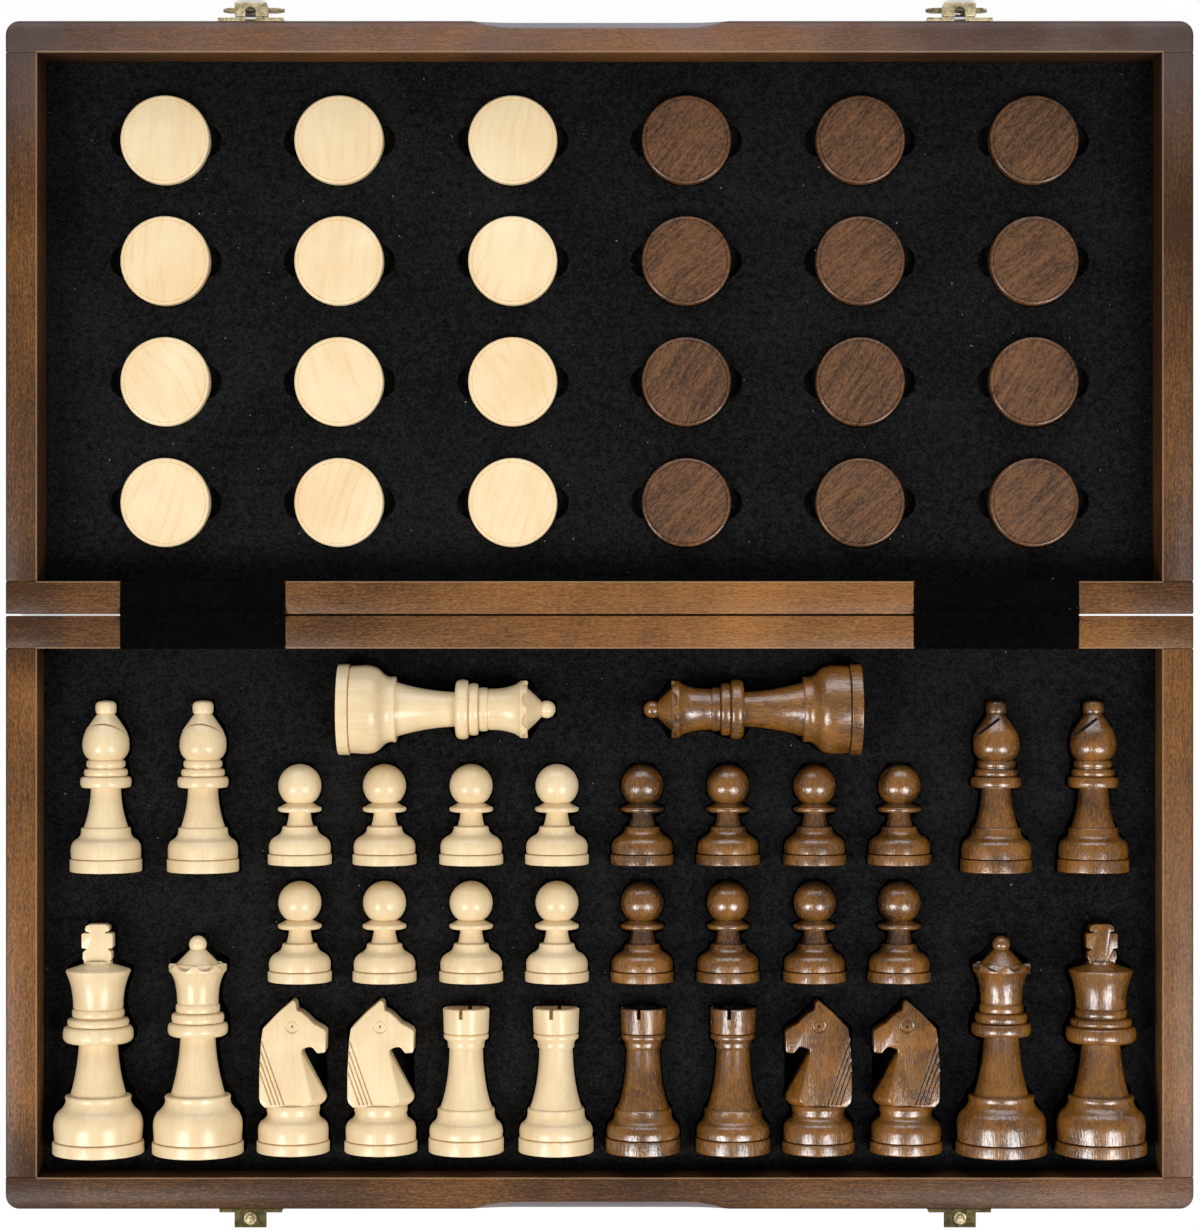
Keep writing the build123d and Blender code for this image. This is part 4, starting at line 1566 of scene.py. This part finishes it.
@dataclass
class Knight(Man):
    """Knight: turned foot and a flat-cut horse's head with mane and eye."""

    kind: str = "knight"
    foot: float = 11.8
    height: float = 49.4
    flank: float = 7.0
    ear_flank: float = 4.6
    core: float = 2.2
    chest: float = 4.6
    chest_from: float = 8.5
    chest_top: float = 20.0
    head_ease: float = 0.5
    eye: tuple[float, float] = (0.1, 40.9)
    eye_ring: float = 1.9
    eye_groove: float = 0.42
    pupil: float = 0.4
    mane_cuts: int = 4
    mane_top: tuple[float, float] = (-10.2, 37.6)
    mane_drop: tuple[float, float] = (-0.12, -3.4)
    mane_foot: tuple[float, float] = (-2.4, 16.0)
    mane_pitch: float = 1.35
    blade_half: float = 0.25
    blade_depth: float = 0.7

    HEAD: ClassVar[Outline] = [
        (-8.6, 15.0), (-10.1, 16.6), (-10.4, 18.1), (-10.4, 26.4), (-9.9, 36.5), (-9.4, 40.2),
        (-4.6, 45.2), (0.3, 49.4), (1.2, 48.5), (1.5, 46.0), (3.0, 45.5), (4.9, 43.9),
        (6.8, 41.9), (10.5, 39.9), (11.0, 38.8), (10.8, 32.6), (8.2, 32.3), (6.6, 34.3),
        (5.2, 34.3), (3.1, 33.5), (3.2, 32.0), (10.8, 18.3), (10.7, 16.8), (8.8, 15.2),
    ]

    def profile(self) -> Profile:
        """Turned outline of the foot.

        Returns:
            The outline.
        """
        outline = Profile.on_plinth(self.foot, 3.5, 11.3)
        outline.line(11.4, 6.8).curve(11.4, 9.4, 9.7, 10.3).curve(8.4, 11.1, 8.3, 12.3)
        return outline.line(8.6, 13.4).line(8.65, 14.6).line(8.3, 15.3).line(0.4, 15.3)

    def half_head(self) -> Bench:
        """Model the half of the head towards -Y, open at the middle.

        Returns:
            The bench with the half head.
        """
        outline = [(x * MM, z * MM) for x, z in self.HEAD]
        core, flank = self.core * MM, self.flank * MM
        front, breast = self.chest_from * MM, self.chest_top * MM
        half = Bench.prism("head", outline, 0, core)
        half.move(Matrix.Rotation(QUARTER_TURN, 4, "X"))
        with half.editing():
            half.pick_faces(lambda centre, normal: centre.y < -core + 0.1 * MM)
            half.draw((0, core - flank, 0))
            half.pick_points(lambda p: p.y < -flank + MM and p.x > front and p.z < breast)
            bpy.ops.transform.translate(value=(-self.chest * MM, 0, 0))
        with half.editing() as mesh:
            for point in mesh.verts:
                if point.co.y < -flank + MM:
                    point.co.y += (self.flank - self.flank_at(point.co.z / MM)) * MM
            half.pick_faces(lambda centre, normal: centre.y > -0.01 * MM and normal.y > 0.9)
            bpy.ops.mesh.delete(type="FACE")
        return half

    def head(self) -> Bench:
        """Model the whole head with its edges eased.

        Returns:
            The bench with the head.
        """
        head = self.half_head()
        across = {"use_axis": (False, True, False), "use_clip": True}
        head.modify("MIRROR", merge_threshold=0.01 * MM, **across)
        head.face_outwards()
        head.ease_edges(self.head_ease * MM, angle=28)
        return head

    def flank_at(self, height: float) -> float:
        """How far the side of the head stands out at a height in millimetres.

        Args:
            height: The height.

        Returns:
            The distance in millimetres.
        """
        low = self.HEAD[0][1]
        share = (height - low) / (self.height - low)
        return self.flank + (self.ear_flank - self.flank) * share

    def carve(self, bench: Bench, side: Side) -> None:
        """Set the head on the foot, then cut its mane and eyes on both flanks.

        Args:
            bench: The turned foot.
            side: The side that it plays for.
        """
        head = self.head()
        for flank in (-1, 1):
            for step in range(self.mane_cuts):
                head.cut(self.mane_tool(flank, step))
            head.cut(*self.eye_tools(flank))
        bench.add(head)
        if side is Side.DARK:
            bench.move(Matrix.Rotation(math.pi, 4, "Z"))

    def mane_tool(self, flank: int, step: int) -> Bench:
        """Narrow blade along one cut of the mane.

        Args:
            flank: -1 or 1, the side of the head.
            step: Which cut, from the neck backwards.

        Returns:
            The bench with the tool in place.
        """
        (x, z), (back, drop), (foot_x, foot_z) = self.mane_top, self.mane_drop, self.mane_foot
        top = Vector((x + back * step, 0, z + drop * step)) * MM
        foot = Vector((foot_x - self.mane_pitch * step, 0, foot_z)) * MM
        top.y, foot.y = (flank * self.flank_at(p.z / MM) * MM for p in (top, foot))
        along = (foot - top).normalized()
        half, deep, reach = self.blade_half * MM, self.blade_depth * MM, (foot - top).length
        tool = Bench.block("blade", (-deep, -half, -MM), (deep, half, reach))
        swing = along.to_track_quat("Z", "Y").to_matrix().to_4x4()
        tool.move(Matrix.Translation(top) @ swing)
        return tool

    def eye_tools(self, flank: int) -> list[Bench]:
        """Ring and pupil tools for one eye.

        Args:
            flank: -1 or 1, the side of the head.

        Returns:
            The benches with the tools in place.
        """
        x, z = self.eye
        place = Vector((x, flank * self.flank_at(z), z)) * MM
        Bench.clear()
        bpy.ops.mesh.primitive_torus_add(
            major_segments=32, minor_segments=8, major_radius=self.eye_ring * MM,
            minor_radius=self.eye_groove * MM, location=place, rotation=(QUARTER_TURN, 0, 0),
        )
        ring = Bench.placed("eye_ring")
        Bench.clear()
        bpy.ops.mesh.primitive_uv_sphere_add(
            segments=12, ring_count=8, radius=self.pupil * MM, location=place, scale=(1, 3, 1)
        )
        return [ring, Bench.placed("pupil")]


def lay_down(solid: Extent) -> tuple[Matrix, Grain]:
    """Work out how a standing man is laid where its solid lies.

    Args:
        solid: Box of the lying man in the frame.

    Returns:
        The matrix that lays it, foot outwards, and the way its grain then runs.
    """
    centre, size = solid.centre, solid.size
    if size.y > size.x:
        foot, turn, grain = (centre.x, solid.low.y, centre.z), 0.0, Grain.Y
    elif centre.x < 0:
        foot, turn, grain = (solid.low.x, centre.y, centre.z), -QUARTER_TURN, Grain.X
    else:
        foot, turn, grain = (solid.high.x, centre.y, centre.z), QUARTER_TURN, Grain.X
    laid = Matrix.Rotation(turn, 4, "Z") @ Matrix.Rotation(-QUARTER_TURN, 4, "X")
    return Matrix.Translation(foot) @ laid, grain


@dataclass
class ChessMen:
    """All the men of one side, lying in their tray."""

    side: Side
    slices: int = 26
    fit: float = 0.35 * MM

    def build(self) -> list[tuple[Outline, Matrix]]:
        """Model each kind once, copy it to each place and dress the copies.

        Returns:
            Pocket outline and laying matrix of each man, for the foam.
        """
        finish = LIGHT_MEN if self.side is Side.LIGHT else DARK_MEN
        materials = {grain: finish.paint(grain) for grain in (Grain.X, Grain.Y)}

        def lay(number: int, solid: Extent) -> Setting:
            """Lay one man in its pocket."""
            place, grain = lay_down(solid)
            return place, materials[grain]

        pockets = []
        for man in (Rook(), Knight(), Queen(), King(), Bishop(), Pawn()):
            master = man.model(self.side)
            outline = self.pocket(master)
            name = f"{self.side.value}_{man.kind}"
            node = name if man.kind == "king" else f"{name}s"
            places = set_out(master, name, node, f"{self.side.value}_men", finish, lay)
            pockets += [(outline, place) for place in places]
            master.clear_away()
        dress_nodes(NICKEL, f"{self.side.value}_chess_magnets")
        return pockets

    def pocket(self, master: Bench) -> Outline:
        """Outline of the pocket that holds a man, a little wider than the man at each slice.

        Args:
            master: The standing man.

        Returns:
            Corners as distance from the axis and height above the foot.
        """
        points = [point.co for point in master.obj.data.vertices]
        edges = [(points[first], points[last]) for first, last in master.obj.data.edge_keys]
        top = max(point.z for point in points)
        step = top / self.slices
        widths = []
        for number in range(self.slices + 1):
            height = number * step
            near = [abs(p.x) for p in points if abs(p.z - height) <= step * 0.6]
            for a, b in edges:
                if min(a.z, b.z) < height < max(a.z, b.z):
                    near.append(abs(a.lerp(b, (height - a.z) / (b.z - a.z)).x))
            widths.append((max(near) + self.fit, height))
        widths[0] = (widths[0][0], -self.fit)
        widths[-1] = (widths[-1][0], top + self.fit)
        return widths + [(-x, z) for x, z in reversed(widths)]


@dataclass
class Checkers:
    """The twelve checkers of one side, lying in the lid; sizes are in millimetres.

    The slant gives the turns of the grain that the checkers of a side take by turns.
    """

    SLANT: ClassVar[dict[Side, Sequence[float]]] = {
        Side.LIGHT: (0.0, 0.12, -0.45, 0.3),
        Side.DARK: (0.7, 0.9, 0.55, 0.8),
    }
    side: Side
    radius: float = 14.5
    height: float = 6.4
    edge: float = 1.0
    groove: float = 13.3
    groove_depth: float = 0.3
    sides: int = 64

    def profile(self) -> Profile:
        """Turned outline: eased edges, a fine ring near the rim and a centre mark.

        Returns:
            The outline.
        """
        radius, top, edge = self.radius, self.height, self.edge
        outline = Profile(radius - edge).across_then_up(radius, edge)
        outline.line(radius, top - edge).up_then_across(radius - edge, top)
        outline.line(self.groove + 0.15, top - 0.02).line(self.groove, top - self.groove_depth)
        outline.line(self.groove - 0.25, top - 0.03).line(0.5, top - 0.03)
        return outline.line(0.3, top - 0.18)

    def model(self) -> Bench:
        """Model one checker with its magnet hole.

        Returns:
            The bench with the checker.
        """
        bench = Bench.turned(f"{self.side.value}_checker", self.profile(), self.sides)
        bench.drill_for_magnet()
        bench.smooth()
        return bench

    def build(self) -> None:
        """Copy the checker to each place, the grain of each turned its own way."""
        finish = LIGHT_DISCS if self.side is Side.LIGHT else DARK_DISCS
        materials = [finish.paint(Grain.Y, turn) for turn in self.SLANT[self.side]]

        def lay(number: int, solid: Extent) -> Setting:
            """Lay one checker in its pocket."""
            return solid.standing, materials[number * 7 % len(materials)]

        master, side = self.model(), self.side.value
        set_out(master, f"{side}_checker", f"{side}_checkers", f"{side}_draughts", finish, lay)
        master.clear_away()
        dress_nodes(NICKEL, f"{side}_checker_magnets")


# Foam inserts


@dataclass
class FoamInsert:
    """Black foam that fills a tray, with pockets cut to what lies in it."""

    half: Half
    skin: float = 1.0 * MM
    clear: float = 1.0 * MM
    corner: float = 2.6 * MM
    corner_steps: int = 5

    def slab(self) -> Bench:
        """Start from the foam's own block, with its upright corners rounded.

        Returns:
            The bench with the slab.
        """
        slab = Bench.block(f"{self.half.body}_foam_insert", *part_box(f"{self.half.body}_foam"))
        with slab.editing("EDGE"):
            slab.pick_edges(lambda a, b: abs(a.z - b.z) > MM)
            bpy.ops.mesh.bevel(offset=self.corner, segments=self.corner_steps, affect="EDGES")
        return slab

    def cut_pockets(self, outlines: Sequence[Outline]) -> None:
        """Args:
            outlines: Corners of each pocket in X and Y.
        """
        slab = self.slab()
        low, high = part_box(f"{self.half.body}_foam")
        floor, top = low.z + self.skin, high.z + self.clear
        first, *others = [Bench.prism("pocket", outline, floor, top) for outline in outlines]
        first.join(others)
        slab.cut(first)
        foam = slab.done(self.half.body, FOAM.paint(), FOAM, f"{self.half.body}_foam")
        log.info("%s: %d pockets", foam.name, len(outlines))


@dataclass
class ChessFoam(FoamInsert):
    """Foam of the base, contour-cut for the men."""

    half: Half = Half.BASE

    def build(self, pockets: Sequence[tuple[Outline, Matrix]]) -> None:
        """Cut a pocket for each man, turned as the man lies."""
        self.cut_pockets([
            [tuple((place @ Vector((x, 0, z))).xy) for x, z in outline]
            for outline, place in pockets
        ])


@dataclass
class CheckerFoam(FoamInsert):
    """Foam of the lid: round pockets with a finger slot on each side."""

    half: Half = Half.LID
    play: float = 0.4 * MM
    slot_reach: float = 18.4 * MM
    slot_width: float = 11.0 * MM
    round_steps: int = 40
    end_steps: int = 6

    def pocket(self, radius: float) -> Outline:
        """Outline of a round pocket that runs out into two slots with round ends.

        Args:
            radius: Radius of the checker.

        Returns:
            Corners about the checker's centre.
        """
        bore, half = radius + self.play, self.slot_width / 2
        meet = math.asin(half / bore)
        slot_end = self.slot_reach - half
        right = []
        for step in range(self.end_steps + 1):
            turn = -QUARTER_TURN + math.pi * step / self.end_steps
            right.append((slot_end + half * math.cos(turn), half * math.sin(turn)))
        top = []
        quarter = self.round_steps // 2
        for step in range(quarter + 1):
            turn = meet + (math.pi - 2 * meet) * step / quarter
            top.append((bore * math.cos(turn), bore * math.sin(turn)))
        upper = right + top
        return upper + [(-x, -y) for x, y in upper]

    def build(self) -> None:
        """Cut a pocket for each checker."""
        self.cut_pockets([
            [(solid.centre.x + x, solid.centre.y + y) for x, y in self.pocket(solid.size.x / 2)]
            for side in Side for solid in solids_of(f"{side.value}_checkers")
        ])


# Trays


@dataclass
class TrayFrame:
    """The four rails of one tray, their edges eased, with the finger scoop and hinge recesses."""

    half: Half
    corner: float = 4.4 * MM
    corner_steps: int = 8
    arris: float = 0.4 * MM
    scoop_length: float = 91.0 * MM
    scoop_flat: float = 54.0 * MM
    scoop_depth: float = 4.2 * MM
    scoop_height: float = 5.0 * MM
    recess_play: float = 0.3 * MM
    overrun: float = 1.0 * MM
    arc_steps: int = 14

    def rail(self, name: str) -> Bench:
        """Start one rail from the box of its node."""
        return Bench.block(f"{self.half.body}_{name}_wood", *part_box(f"{self.half.body}_{name}"))

    def scoop(self, top: float, wall: float) -> Bench:
        """Cutter of the finger scoop: a flat with an arc at each end, slanting outwards.

        Args:
            top: Height of the rim.
            wall: Distance of the outer wall from the fold.

        Returns:
            The bench with the cutter on this tray's side.
        """
        slope = self.scoop_depth / self.scoop_height
        depth = self.scoop_depth - slope * self.overrun
        near, far = self.scoop_flat / 2, self.scoop_length / 2
        run = far - near
        radius = (run**2 + self.scoop_depth**2) / (2 * self.scoop_depth)
        sweep = math.asin(run / radius)
        arc = [
            (near + radius * math.sin(turn), wall - depth + radius * (1 - math.cos(turn)))
            for turn in (sweep * step / self.arc_steps for step in range(self.arc_steps + 1))
        ]
        outside = wall + self.scoop_depth + 2 * self.overrun
        right = [*arc, (far, outside)]
        outline = right + [(-x, y) for x, y in reversed(right)]
        fall = self.scoop_height + self.overrun
        cutter = Bench.prism("scoop", outline, top + self.overrun, top + self.overrun - fall)
        lean = Matrix.Identity(4)
        lean[1][2] = -slope
        rim = Matrix.Translation((0, 0, top + self.overrun))
        cutter.move(rim @ lean @ rim.inverted())
        cutter.move(Matrix.Diagonal((1, self.half.value, 1, 1)))
        cutter.face_outwards()
        return cutter

    def front_rail(self) -> Bench:
        """Outer long rail with round corners and the finger scoop.

        Returns:
            The bench with the rail.
        """
        low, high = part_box(f"{self.half.body}_front_rail")
        wall = max(abs(low.y), abs(high.y))
        rail = self.rail("front_rail")
        with rail.editing("EDGE"):
            rail.pick_edges(
                lambda a, b: abs(a.z - b.z) > MM and min(abs(a.y), abs(b.y)) > wall - 0.1 * MM
            )
            bpy.ops.mesh.bevel(offset=self.corner, segments=self.corner_steps, affect="EDGES")
        rail.cut(self.scoop(high.z, wall))
        return rail

    def spine_rail(self) -> Bench:
        """Rail beside the fold with a recess for each hinge.

        Returns:
            The bench with the rail.
        """
        low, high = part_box(f"{self.half.body}_spine_rail")
        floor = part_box(f"left_hinge_{self.half.body}_leaf")[0].z
        rail = self.rail("spine_rail")
        for cover in solids_of(f"{self.half.body}_hinge_covers"):
            left, right = cover.low.x - self.recess_play, cover.high.x + self.recess_play
            rail.cut(Bench.block(
                "recess", (left, low.y - self.overrun, floor),
                (right, high.y + self.overrun, high.z + self.overrun),
            ))
        return rail

    def build(self) -> None:
        """Model the four rails and dress them, each with its grain along it."""
        rails = {
            "front_rail": (self.front_rail(), Grain.X),
            "spine_rail": (self.spine_rail(), Grain.X),
            "left_rail": (self.rail("left_rail"), Grain.Y),
            "right_rail": (self.rail("right_rail"), Grain.Y),
        }
        materials = {grain: BOX_WOOD.paint(grain) for grain in (Grain.X, Grain.Y)}
        for name, (rail, grain) in rails.items():
            rail.ease_edges(self.arris)
            rail.smooth()
            rail.done(self.half.body, materials[grain], BOX_WOOD, f"{self.half.body}_{name}")
            log.info("%s %s: 1 piece", self.half.body, name)


@dataclass
class PlayingFace:
    """The closed underside of one tray: panel, steel sheet, squares and border."""

    half: Half

    def build(self) -> None:
        """Dress the carried-over layers."""
        layers = {
            "panel": PLYWOOD, "steel_sheet": SHEET_STEEL, "border": BORDER_VENEER,
            "light_squares": LIGHT_VENEER, "dark_squares": DARK_VENEER,
        }
        for name, finish in layers.items():
            dress_nodes(finish, f"{self.half.body}_{name}")
        log.info("%s playing face: %d layers", self.half.body, len(layers))


# Hinges


@dataclass
class FeltCovers:
    """The felt strips that run over the hinges, one piece each across the fold."""

    thickness: float = 0.8 * MM
    hump_reach: float = 3.2 * MM
    hump_rise: float = 2.2 * MM
    hump_swell: float = 1.5
    hump_length: float = 0.7 * MM
    edge: float = 0.15 * MM
    bend: float = 2.2 * MM
    rows: int = 44

    def strip(self, name: str, left: float, right: float) -> Bench:
        """Model one strip, laid on the leaves and humped over the barrel.

        Args:
            name: Name of the strip.
            left, right: Its sides along X.

        Returns:
            The bench with the strip.
        """
        low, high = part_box("base_hinge_covers")
        reach = abs(low.y)
        strip = Bench.block(name, (left, -reach, low.z), (right, reach, low.z + self.thickness))
        with strip.editing("EDGE"):
            strip.pick_edges(lambda a, b: abs(a.y - b.y) > MM)
            bpy.ops.mesh.subdivide(number_cuts=self.rows)
        for row in range(1, self.rows + 1):
            y = -reach + 2 * reach * row / (self.rows + 1)
            share = max(0.0, 1 - (y / self.hump_reach) ** 2)
            if share:
                rise = self.hump_rise * share**self.hump_swell
                with strip.editing("VERT"):
                    strip.pick_points(lambda p, y=y: abs(p.y - y) < 0.1 * MM)
                    bpy.ops.transform.translate(value=(0, 0, rise))
        strip.ease_edges(self.edge, segments=1, angle=60)
        strip.smooth(50)
        return strip

    def build(self) -> None:
        """Model both strips, each humped over the barrel between the trays."""
        material = FELT.paint()
        for side, cover in zip(SIDES, solids_of("base_hinge_covers"), strict=True):
            strip = self.strip(f"{side}_felt_cover", cover.low.x, cover.high.x)
            dress(strip.obj, material)
            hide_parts("base_hinge_covers", "lid_hinge_covers")
            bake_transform(strip.obj)
            log.info("%s: 1 piece", strip.obj.name)


@dataclass
class Hinges:
    """Leaves, pins and screws under the felt."""

    def build(self) -> None:
        """Dress the carried-over leaves, pins and screws."""
        names = [f"{half.body}_hinge_screws" for half in Half]
        for side in SIDES:
            names += [f"{side}_hinge_{part}" for part in ("base_leaf", "lid_leaf", "pin")]
        dress_nodes(HINGE_BRASS, *names)
        log.info("hinges: %d nodes", len(names))


# Catches and latches


@dataclass
class Fittings:
    """Catches on the base and latches on the lid; studs' and screws' sizes are in millimetres."""

    edge: float = 0.18 * MM
    slot_half: float = 2.2 * MM
    ball: float = 1.5
    screw_length: float = 7.0
    screw_tip: float = 1.5
    screw_core: float = 0.75
    screw_head: float = 1.55
    head_height: float = 1.2
    groove_width: float = 0.45
    groove_depth: float = 0.4
    screw_turn: float = 0.4

    def soften(self, node: str, body: str, material: Material, finish: Metal) -> None:
        """Stand a copy with rounded edges in for a node.

        Args:
            node: The node.
            body: Body that it rides on.
            material: Its material.
            finish: The finish of the material.
        """
        low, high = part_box(node)
        piece = Bench.traced(f"{node}_piece", node)
        piece.ease_outward_edges(self.edge, (low.x + high.x) / 2, self.slot_half)
        piece.smooth()
        piece.done(body, material, finish, node)
        log.info("%s: 1 piece", node)

    def stud(self) -> Bench:
        """Model the ball stud standing on the origin.

        Returns:
            The bench with the stud.
        """
        outline = Profile(2.0).line(2.0, 0.3).up_then_across(1.8, 0.5).line(1.1, 0.5)
        stud = Bench.turned("stud", outline.ball(self.ball, self.ball, 0.3), 32)
        stud.smooth()
        return stud

    def screw(self) -> Bench:
        """Model a slotted countersunk screw, head up, its head level with the origin.

        Returns:
            The bench with the screw.
        """
        length, core, head = self.screw_length, self.screw_core, self.screw_head
        outline = Profile(0.3, -length).line(core, self.screw_tip - length)
        outline.line(core, -self.head_height).line(head, -0.1).line(head, -0.02).line(0.3, 0.0)
        screw = Bench.turned("screw", outline, 24)
        half, reach, deep = self.groove_width / 2 * MM, 2 * head * MM, self.groove_depth * MM
        screw.cut(Bench.block("groove", (-reach, -half, -deep), (reach, half, deep)))
        screw.smooth()
        return screw

    def build(self) -> None:
        """Model the plates, levers, studs and screws, and dress what is carried over."""
        # dull is the antique brass darkened as painted shade, for the catch plates.
        brass, dull = ANTIQUE_BRASS.paint(), SHADED_CATCH_BRASS.paint()
        for side in SIDES:
            self.soften(f"{side}_catch_plate", "base", dull, SHADED_CATCH_BRASS)
            self.soften(f"{side}_latch_plate", "lid", brass, ANTIQUE_BRASS)
            self.soften(f"{side}_thumb_lever", f"{side}_lever", brass, ANTIQUE_BRASS)

        def stand(number: int, solid: Extent) -> Setting:
            """Stand one stud on its plate."""
            return solid.standing, brass

        stud = self.stud()
        set_out(stud, "catch_stud", "catch_studs", "base", ANTIQUE_BRASS, stand)
        stud.clear_away()
        screw = self.screw()
        for half, node in ((Half.BASE, "catch_screws"), (Half.LID, "latch_screws")):

            def drive(number: int, solid: Extent, half: Half = half) -> Setting:
                """Drive one screw in from outside, each turned a little further.

                Args:
                    number: Which screw.
                    solid: The box of its solid.
                    half: The tray that it is driven into.

                Returns:
                    Its place and material.
                """
                face = solid.low.y if half is Half.BASE else solid.high.y
                outwards = Matrix.Rotation(-half.value * QUARTER_TURN, 4, "X")
                slant = Matrix.Rotation(self.screw_turn * number, 4, "Z")
                place = Matrix.Translation((solid.centre.x, face, solid.centre.z))
                return place @ outwards @ slant, brass

            set_out(screw, node, node, half.body, ANTIQUE_BRASS, drive)
        screw.clear_away()
        dress_nodes(ANTIQUE_BRASS, "latch_pins", material=brass)
        dress_nodes(SPRING_STEEL, "latch_springs")


# Studio


@dataclass(frozen=True)
class Lamp:
    """One soft lamp, aimed at the middle of the board."""

    name: str
    place: tuple[float, float, float]
    watts: float
    size: tuple[float, float]
    colour: Colour = WHITE

    def hang(self) -> None:
        """Hang the lamp in its place."""
        data = bpy.data.lights.new(self.name, "AREA")
        data.shape = "RECTANGLE"
        data.size, data.size_y = self.size
        data.energy = self.watts
        data.color = self.colour
        lamp = bpy.data.objects.new(self.name, data)
        lamp.location = self.place
        lamp.rotation_euler = (-Vector(self.place)).to_track_quat("-Z", "Y").to_euler()
        bpy.context.scene.collection.objects.link(lamp)


@dataclass
class Studio:
    """Pale floor, soft lights and the camera straight above the board."""

    LAMPS: ClassVar[tuple[Lamp, ...]] = (
        Lamp("left_lamp", (-0.75, -0.55, 1.0), 9.5, (0.45, 0.6)),
        Lamp("right_lamp", (0.62, -0.55, 1.05), 9.8, (0.5, 0.65)),
        Lamp("window", (0.0, 1.3, 0.55), 10.5, (1.8, 0.8), (0.84, 0.9, 1.0)),
    )
    field: float = 384.84 * MM
    rim: float = 27.0 * MM
    camera_height: float = 1.0
    sensor: float = 36.0
    off_centre: tuple[float, float] = (0.13 * MM, -0.19 * MM)
    world_strength: float = 0.24
    floor_size: float = 8.0
    floor_drop: float = 0.3 * MM
    floor_shade: float = 0.97
    floor_glow: float = 0.97
    seam_half: float = 3.0 * MM
    seam_reach: float = 128.0 * MM
    seam_end: float = 191.0 * MM
    seam_left_share: float = 0.35
    slot_half: float = 2.8 * MM
    slot_fade: float = 6.16 * MM
    slot_from_wall: float = 2.5 * MM
    slot_reach: Band = (7.0 * MM, 5.0 * MM)
    slot_share: float = 0.6

    def floor(self) -> None:
        """Lay a floor that shows white and keeps the board's shadow."""
        Bench.clear()
        bpy.ops.mesh.primitive_plane_add(size=self.floor_size, location=(0, 0, -self.floor_drop))
        floor = Bench("studio_floor").obj
        recipe = Recipe("studio_floor")
        recipe.finish(Base_Color=(self.floor_shade,) * 3, Roughness=0.9)
        path = recipe.node("ShaderNodeLightPath").outputs
        seen = Tone(recipe, path["Is Camera Ray"]).larger(Tone(recipe, path["Is Glossy Ray"]))
        share = seen * (1 - self.closed(recipe)) * self.floor_glow
        glow = recipe.node("ShaderNodeEmission", None, {"Color": WHITE}).outputs[0]
        inputs = {0: share, 1: recipe.shader.outputs[0], 2: glow}
        blend = recipe.node("ShaderNodeMixShader", None, inputs).outputs[0]
        recipe.feed(recipe.tree.nodes["Material Output"], {"Surface": blend})
        floor.data.materials.append(recipe.material)

    def closed(self, recipe: Recipe) -> Tone:
        """Share of the floor that doesn't glow: under the seam and behind the latches' slots.

        Args:
            recipe: The material being mixed.

        Returns:
            The share.
        """
        x, y, _ = recipe.axes()
        seam = abs(y).ease(self.seam_half + MM, self.seam_half)
        shut = abs(x).ease(self.seam_reach + MM, self.seam_reach)
        shut = shut + x.ease(MM, -MM) * self.seam_left_share
        closed = seam * shut * abs(x).ease(self.seam_end, self.seam_end - MM)
        for side in SIDES:
            low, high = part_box(f"{side}_latch_plate")
            middle = (low.x + high.x) / 2 * (1 + self.rim / self.camera_height)
            across = abs(x - middle).ease(self.slot_fade, self.slot_half)
            along = abs(y - high.y - self.slot_from_wall).ease(*self.slot_reach)
            closed = closed + across * along * self.slot_share
        return closed

    def world(self) -> None:
        """Light the scene evenly from all round; the camera sees it white."""
        world = bpy.data.worlds.new("studio")
        nodes = Nodes(world)
        seen = nodes.node("ShaderNodeLightPath").outputs["Is Camera Ray"]
        inputs = {"Value": seen, "To Min": self.world_strength, "To Max": 1.0}
        strength = nodes.node("ShaderNodeMapRange", None, inputs).outputs[0]
        nodes.feed(nodes.tree.nodes["Background"], {"Color": WHITE, "Strength": strength})
        bpy.context.scene.world = world

    def camera(self) -> None:
        """Set the camera straight above, with the board's width filling the picture."""
        data = bpy.data.cameras.new("camera")
        data.sensor_fit = "HORIZONTAL"
        data.sensor_width = self.sensor
        data.lens = self.sensor * self.camera_height / self.field
        camera = bpy.data.objects.new("camera", data)
        camera.location = (*self.off_centre, self.rim + self.camera_height)
        bpy.context.scene.collection.objects.link(camera)
        bpy.context.scene.camera = camera

    def build(self) -> None:
        """Set up floor, world, lamps and camera."""
        self.floor()
        self.world()
        for lamp in self.LAMPS:
            lamp.hang()
        self.camera()
        bpy.context.scene.view_settings.view_transform = "Standard"
        log.info("studio: floor, %d lamps, camera", len(self.LAMPS))


def main() -> None:
    """Build and dress the whole board in order."""
    logging.basicConfig(level=logging.INFO, format="%(name)s: %(message)s")
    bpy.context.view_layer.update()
    for half in Half:
        TrayFrame(half).build()
        PlayingFace(half).build()
    pockets = [pocket for side in Side for pocket in ChessMen(side).build()]
    ChessFoam().build(pockets)
    for side in Side:
        Checkers(side).build()
    CheckerFoam().build()
    Hinges().build()
    FeltCovers().build()
    Fittings().build()
    Studio().build()


if __name__ == "__main__":
    main()
